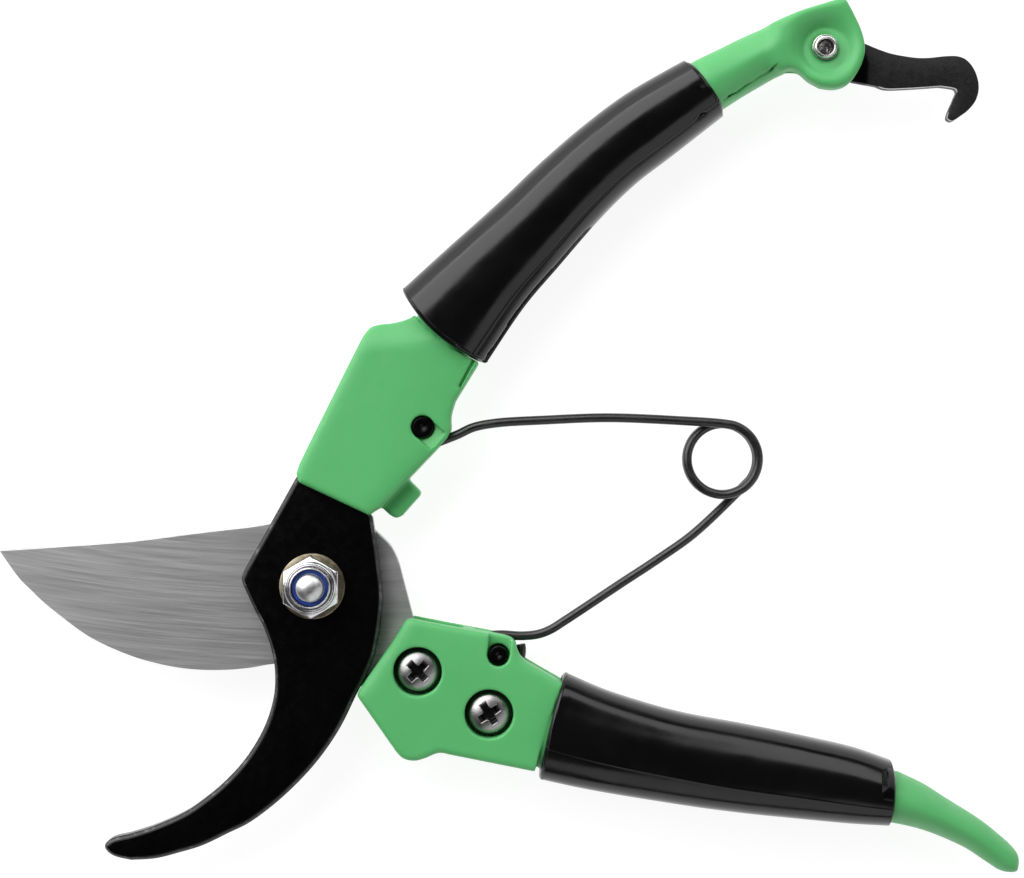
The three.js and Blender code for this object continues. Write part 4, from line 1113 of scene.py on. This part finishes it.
def pivot_bolt():
    top = BOLT_HIGH
    f = Field((-6.2, -6.2, BOLT_LOW - 0.3), (6.2, 6.2, top + 0.3), 0.1)
    radius = f.disc((0, 0), 0)
    head = f.prism(hexagon((0, 0), 10, math.pi / 6), 0, 3.2, 0.15)
    cone = (radius - 4.9) * 0.5 - f.z * 0.86
    head = smooth_max(head, cone, 0.15)
    angle = np.arctan2(f.y, f.x)
    turn = (f.z - angle / (2 * math.pi)) % 1.0
    thread = 0.3 * np.abs(turn - 0.5) * 2
    shank = np.maximum(radius - (PIVOT_RADIUS - 0.02) + thread * (f.z > NUT_HIGH - 2.5), 1 - f.z)
    ball = 3.6
    dome = np.hypot(radius, f.z - (top - ball)) - ball
    neck = radius - 2.45 - np.maximum(0, NUT_HIGH - 1.6 - f.z) * 2
    shank = smooth_max(smooth_max(shank, dome, 0.25), neck, 0.2)
    mesh = f.surface("pivot_bolt_fine", smooth_min(head, shank, 0.2))
    finish_piece("pivot_bolt_fine", mesh, [BOLT], "hook_side", ["pivot_bolt"])


def pivot_nut():
    f = Field((-6.2, -6.2, NUT_LOW - 0.3), (6.2, 6.2, NUT_HIGH + 0.3), 0.08)
    radius = f.disc((0, 0), 0)
    hex_high = NUT_LOW + 4
    body = f.prism(hexagon((0, 0), 10, math.pi / 6), NUT_LOW, hex_high, 0.1)
    cone = (radius - 4.75) * 0.5 + (f.z - hex_high) * 0.866
    body = smooth_max(body, cone, 0.3)
    bead = np.hypot(radius - 4.25, (f.z - hex_high) * 0.7) - 0.42
    collar = smooth_max(radius - 3.75, f.z - (NUT_HIGH - 0.3), 0.5)
    body = smooth_min(smooth_min(body, bead, 0.1), np.maximum(collar, NUT_LOW + 0.5 - f.z), 0.1)
    bore = radius - PIVOT_HOLE
    seat = smooth_max(radius - 3.28, NUT_HIGH - 3.2 - f.z, 0.1)
    body = carve(body, [bore, seat], 0.25)
    mesh = f.surface("pivot_nut_fine", body)
    finish_piece("pivot_nut_fine", mesh, [ZINC], "hook_side", ["pivot_nut"])


def nut_insert():
    low, high = heights("nut_insert")
    high -= 0.6
    profile = [(2.6, low), (3.22, low), (3.22, high), (3.0, high + 0.05), (2.75, high - 0.05),
               (2.6, high - 0.25)]
    mesh = turned_mesh("nut_insert_fine", (0, 0), profile)
    finish_piece("nut_insert_fine", mesh, [NYLON], "hook_side", ["nut_insert"], 35)


def flat_washer(node, body, material, centre, inner, outer):
    low, high = heights(node)
    soft = min(0.22, (high - low) * 0.3)
    profile = [(inner, low + soft), (inner + soft, low), (outer - soft, low),
               (outer - soft * 0.3, low + soft * 0.3), (outer, low + soft), (outer, high - soft),
               (outer - soft * 0.3, high - soft * 0.3), (outer - soft, high), (inner + soft, high),
               (inner, high - soft)]
    mesh = turned_mesh(node + "_fine", centre, profile, 128)
    finish_piece(node + "_fine", mesh, [material], body, [node], 35)


def handle_screw(node, centre, turn):
    low, high = 11.3, 13.6
    f = Field((centre[0] - 4, centre[1] - 4, 0.4), (centre[0] + 4, centre[1] + 4, high + 0.3), 0.08)
    radius = f.disc(centre, 0)
    ball = 7.6
    dome = np.hypot(radius, f.z - (high - ball)) - ball
    head = smooth_max(smooth_max(radius - 3.64, dome, 0.3), low - f.z, 0.15)
    shank = smooth_max(radius - 1.8, np.maximum(0.6 - f.z, f.z - low - 0.5), 0.2)
    body = smooth_min(head, shank, 0.2)
    c, s = math.cos(turn), math.sin(turn)
    dx, dy = f.x - centre[0], f.y - centre[1]
    a, b = dx * c + dy * s, dy * c - dx * s
    deep = high - f.z
    cross = None
    for along, side in ((a, b), (b, a)):
        wing = np.maximum(np.abs(side) - (0.66 - 0.05 * deep), np.abs(along) - (2.35 - 0.55 * deep))
        cross = wing if cross is None else smooth_min(cross, wing, 0.5)
    cross = np.maximum(cross, deep - 2.1)
    body = smooth_max(body, -cross, 0.18)
    mesh = f.surface(node + "_fine", body)
    finish_piece(node + "_fine", mesh, [SCREW], "blade_side", [node])


def screw_nut(node, centre):
    low, high = heights(node)
    reach = 4.6
    f = Field((centre[0] - reach, centre[1] - reach, low - 0.3),
              (centre[0] + reach, centre[1] + reach, high + 0.3), 0.1)
    radius = f.disc(centre, 0)
    body = f.prism(hexagon(centre, 7), low, high, 0.15)
    cone = (radius - 3.4) * 0.5 - (f.z - low) * 0.86
    body = carve(smooth_max(body, cone, 0.15), [f.disc(centre, SCREW_HOLE)], 0.2)
    mesh = f.surface(node + "_fine", body)
    finish_piece(node + "_fine", mesh, [ZINC], "blade_side", [node])


def spring_pin(node, centre, radius, body):
    low, high = heights(node)
    profile = [(0, low), (radius - 0.25, low), (radius, low + 0.25), (radius, high - 0.2),
               (radius - 0.06, high - 0.06), (radius - 0.2, high), (0.35, high), (0.22, high - 0.12),
               (0, high - 0.14)]
    mesh = turned_mesh(node + "_fine", centre, profile)
    finish_piece(node + "_fine", mesh, [COATING], body, [node], 50)


# ---- spring -----------------------------------------------------------------------------------------

def centripetal(points, step):
    """Evenly spaced places on the centripetal Catmull-Rom curve through the points."""
    p = np.asarray(points, float)
    p = np.vstack([2 * p[0] - p[1], p, 2 * p[-1] - p[-2]])
    made = []
    for a, b, c, d in zip(p, p[1:], p[2:], p[3:]):
        ta, tb, tc = (max(math.dist(m, n), 1e-9)**0.5 for m, n in ((a, b), (b, c), (c, d)))
        leave = ((b - a) / ta - (c - a) / (ta + tb) + (c - b) / tb) * tb
        arrive = ((c - b) / tb - (d - b) / (tb + tc) + (d - c) / tc) * tb
        w = np.linspace(0, 1, 24, endpoint=False)[:, None]
        made.append((2 * b - 2 * c + leave + arrive) * w**3 + (3 * c - 3 * b - 2 * leave - arrive) * w**2
                    + leave * w + b)
    line = np.vstack([*made, p[-2:-1]])
    length = np.concatenate([[0], np.cumsum(np.linalg.norm(np.diff(line, axis=0), axis=1))])
    count = int(length[-1] / step)
    return np.stack([np.interp(np.linspace(0, length[-1], count), length, line[:, k]) for k in range(3)], 1)


def tube_mesh(name, line, radius, sides=20):
    """A wire along a line, with its two ends cut square and slightly broken."""
    way = np.gradient(line, axis=0)
    way /= np.linalg.norm(way, axis=1)[:, None]
    angle = np.linspace(0, 2 * math.pi, sides, endpoint=False)
    up = np.array([0, 0, 1.0])
    rings = []

    def ring(place, direction, r):
        side = np.cross(direction, up)
        side /= np.linalg.norm(side)
        top = np.cross(side, direction)
        rings.append(place + r * (np.outer(np.cos(angle), side) + np.outer(np.sin(angle), top)))

    broken = 0.12
    ring(line[0], way[0], radius - broken)
    ring(line[0] + way[0] * broken, way[0], radius)
    for place, direction in zip(line[1:-1], way[1:-1]):
        ring(place, direction, radius)
    ring(line[-1] - way[-1] * broken, way[-1], radius)
    ring(line[-1], way[-1], radius - broken)
    faces = ring_faces(len(rings), sides)
    last = (len(rings) - 1) * sides
    faces += [list(range(sides))[::-1], [last + i for i in range(sides)]]
    return mesh_of(name, np.concatenate(rings), faces)


LOWER_EYE_TURNS = [(80, 3.25), (110, 3.25), (140, 3.25), (170, 3.25), (200, 3.25), (230, 3.25), (255, 3.3),
                   (280, 3.45), (300, 3.7), (318, 4.0), (334, 4.2), (350, 4.2), (368, 4.3), (380, 4.4)]


def spring():
    """One wire from the upper eye through the coil to the lower eye."""
    def eye(centre, radius, start, end, height):
        angle = np.radians(np.linspace(start, end, 13))
        return [(centre[0] + radius * math.cos(a), centre[1] + radius * math.sin(a), height) for a in angle]

    start, sweep = math.radians(88), COIL_TURNS * 2 * math.pi
    count = round(sweep / math.radians(20))
    coil = []
    for part in np.linspace(0, 1, count + 1):
        angle = start - sweep * part
        coil.append((COIL_CENTRE[0] + COIL_RADIUS * math.cos(angle),
                     COIL_CENTRE[1] + COIL_RADIUS * math.sin(angle),
                     UPPER_ARM + (LOWER_ARM - UPPER_ARM) * part))
    lower_eye = [(LOWER_PIN[0] + r * math.cos(math.radians(a)),
                  LOWER_PIN[1] + r * math.sin(math.radians(a)), LOWER_ARM) for a, r in LOWER_EYE_TURNS]
    upper_eye = eye(UPPER_PIN, UPPER_EYE, 5, 292, UPPER_ARM)
    upper_arm = [(x, y, UPPER_ARM) for x, y in UPPER_ARM_PLAN]
    lower_arm = [(x, y, LOWER_ARM) for x, y in LOWER_ARM_PLAN[::-1]]
    points = [*upper_eye, *upper_arm, *coil, *lower_arm, *lower_eye]
    mesh = tube_mesh("spring_wire", centripetal(points, WIRE_STEP), WIRE_RADIUS)
    piece = finish_piece("spring_wire", mesh, [OXIDE], None,
                         ["spring_upper", "spring_lower"], 50)
    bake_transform(piece)


# ---- catch ------------------------------------------------------------------------------------------

def catch_hook():
    low = MID - CATCH_THICKNESS / 2
    high = low + CATCH_THICKNESS
    shape = outline([
        (96.3, 101.4),
        (101.4, 99.3),
        [(105.6, 97.7), (109.9, 96.9), (112.8, 96.8), (115.7, 97.1), (118.2, 97.1), (120.0, 96.3),
         (121.4, 94.4), (122.1, 91.8), (121.7, 89.3), (120.2, 87.2), (117.9, 85.5)],
        [(117.1, 85.2), (116.3, 85.7), (116.5, 86.8)],
        (118.1, 90.5),
        [(117.6, 91.2), (115.0, 91.6)],
        [(109.2, 91.2), (105.2, 91.1), (103.3, 91.7)],
        (99.0, 92.5),
        [(96.6, 93.6), (93.5, 93.2), (90.6, 94.6), (89.3, 97.6), (90.1, 100.8), (93.0, 102.4)],
    ], 0.3)
    profile = [(0.22, low), (0.05, low + 0.06), (0, low + 0.25), (0, high - 0.75), (0, high - 0.2),
               (0.06, high - 0.05), (0.2, high)]
    mesh = plate_mesh("catch_hook_fine", shape, profile, [circle(CATCH_PIVOT, RIVET_HOLE, 48)],
                      mark=lambda step: 1 if step in (3, 4) else 0)
    finish_piece("catch_hook_fine", mesh, [CATCH, BARE], "catch", ["catch_hook"], 24)


def catch_rivet():
    profile = soft_corners([
        (0, 0.9), (2.5, 0.9), (2.5, 1.5), (1.5, 1.9), (1.5, 13.0), (2.15, 13.0), (2.15, 13.65), (1.95, 13.95),
        (1.65, 14.05), (1.45, 13.8), (1.25, 13.0), (1.1, 12.0), (1.0, 7.0), (0, 6.8),
    ], 0.12)
    mesh = turned_mesh("catch_rivet_fine", CATCH_PIVOT, profile)
    finish_piece("catch_rivet_fine", mesh, [NICKEL], "hook_side", ["catch_rivet"], 50)


# ---- the object -------------------------------------------------------------------------------------

hook_blade()
cutting_blade()
upper_handle()
lower_handle()
# The far rims of the two grips, as (shift, inset) steps: one has a lip behind its edge, and one is plain.
DOUBLE_RIM = [(-2.3, 0), (-1.9, 0.05), (-1.6, 0.2), (-1.42, 0.45), (-1.34, 0.68), (-1.2, 0.72), (-1.08, 0.55),
              (-0.85, 0.42), (-0.5, 0.42), (-0.25, 0.52), (-0.08, 0.68), (0, 0.85)]
SOFT_RIM = [(-2.6, 0), (-2.0, 0.04), (-1.4, 0.13), (-0.9, 0.27), (-0.5, 0.44), (-0.2, 0.64), (0, 0.85)]
grip("upper_grip_fine", UPPER_GRIP, UPPER_BOW, "inner", UPPER_CHANNELS, UPPER_ARM,
     lambda t: (2.9 - 0.9 * t, 0.14), lambda t: (-0.2, 0.0, 2.0), (4.6, 0.1), DOUBLE_RIM, "hook_side",
     "upper_grip")
grip("lower_grip_fine", LOWER_GRIP, LOWER_BOW, "outer", LOWER_CHANNELS, LOWER_ARM,
     lambda t: (6.6 - 3.0 * t, -0.05), lambda t: (0.5 + 0.1 * t, 0.3, 1.9), None, SOFT_RIM, "blade_side",
     "lower_grip")
pivot_bolt()
pivot_nut()
nut_insert()
flat_washer("front_washer", "hook_side", YELLOW, (0, 0), PIVOT_HOLE, 6.0)
flat_washer("rear_washer", "hook_side", YELLOW, (0, 0), PIVOT_HOLE, 6.0)
spring_pin("upper_spring_pin", UPPER_PIN, 1.95, "hook_side")
spring_pin("lower_spring_pin", LOWER_PIN, 1.7, "blade_side")
spring()
for where, screw_centre, turn in zip(("front", "rear"), SCREWS, (45, 33)):
    handle_screw("handle_screw_" + where, screw_centre, math.radians(turn))
    flat_washer("screw_washer_" + where, "blade_side", OXIDE, screw_centre, SCREW_HOLE, 4.15)
    screw_nut("screw_nut_" + where, screw_centre)
catch_hook()
catch_rivet()
flat_washer("catch_washer", "hook_side", NICKEL, CATCH_PIVOT, RIVET_HOLE, 2.35)


# ---- floor, light and camera --------------------------------------------------------------------------

def floor():
    mesh = bpy.data.meshes.new("floor")
    reach, drop = 3.0, -0.0006
    corners = [(-reach, -reach, drop), (reach, -reach, drop), (reach, reach, drop), (-reach, reach, drop)]
    mesh.from_pydata(corners, [], [(0, 1, 2, 3)])
    f = Finish("floor", Roughness=0.9)
    f.shader.inputs["Base Color"].default_value = (0.22, 0.22, 0.22, 1)
    f.shader.inputs["Emission Color"].default_value = (1, 1, 1, 1)
    f.shader.inputs["Emission Strength"].default_value = 0.88
    f.shader.inputs["Specular IOR Level"].default_value = 0.1
    mesh.materials.append(f.material)
    piece = bpy.data.objects.new("floor", mesh)
    bpy.context.scene.collection.objects.link(piece)


def softbox(name, bearing, zenith, distance, width, height, radiance):
    """An area light seen from the object at that bearing and angle from overhead, facing the object."""
    aim = Vector((0.036, 0.027, 0.008))
    b, z = math.radians(bearing), math.radians(zenith)
    way = Vector((math.cos(b) * math.sin(z), math.sin(b) * math.sin(z), math.cos(z)))
    light = bpy.data.lights.new(name, "AREA")
    light.shape = "RECTANGLE"
    light.size, light.size_y = width, height
    light.energy = radiance * math.pi * width * height
    lamp = bpy.data.objects.new(name, light)
    lamp.location = aim + way * distance
    lamp.rotation_mode = "QUATERNION"
    lamp.rotation_quaternion = (-way).to_track_quat("-Z", "Y")
    bpy.context.scene.collection.objects.link(lamp)


def camera():
    """Straight down on the object from 480 mm, as the photograph is taken."""
    data = bpy.data.cameras.new("camera")
    data.sensor_width = 36
    data.lens = 90.13
    data.clip_start, data.clip_end = 0.01, 10
    made = bpy.data.objects.new("camera", data)
    made.location = (0.03639, 0.02681, 0.480)
    bpy.context.scene.collection.objects.link(made)
    bpy.context.scene.camera = made


floor()
softbox("key", 132, 48, 1.0, 1.3, 0.9, 3.45)
softbox("skirt", 138, 80, 1.0, 1.7, 0.5, 1.5)
softbox("top_right", 58, 57, 1.0, 0.7, 0.5, 2.2)
softbox("fill", -50, 56, 1.0, 2.0, 0.8, 0.9)
world = bpy.data.worlds.new("studio")
world.use_nodes = True
world.node_tree.nodes["Background"].inputs["Color"].default_value = (1, 1, 1, 1)
world.node_tree.nodes["Background"].inputs["Strength"].default_value = 0.05
bpy.context.scene.world = world
bpy.context.scene.view_settings.view_transform = "Standard"
camera()
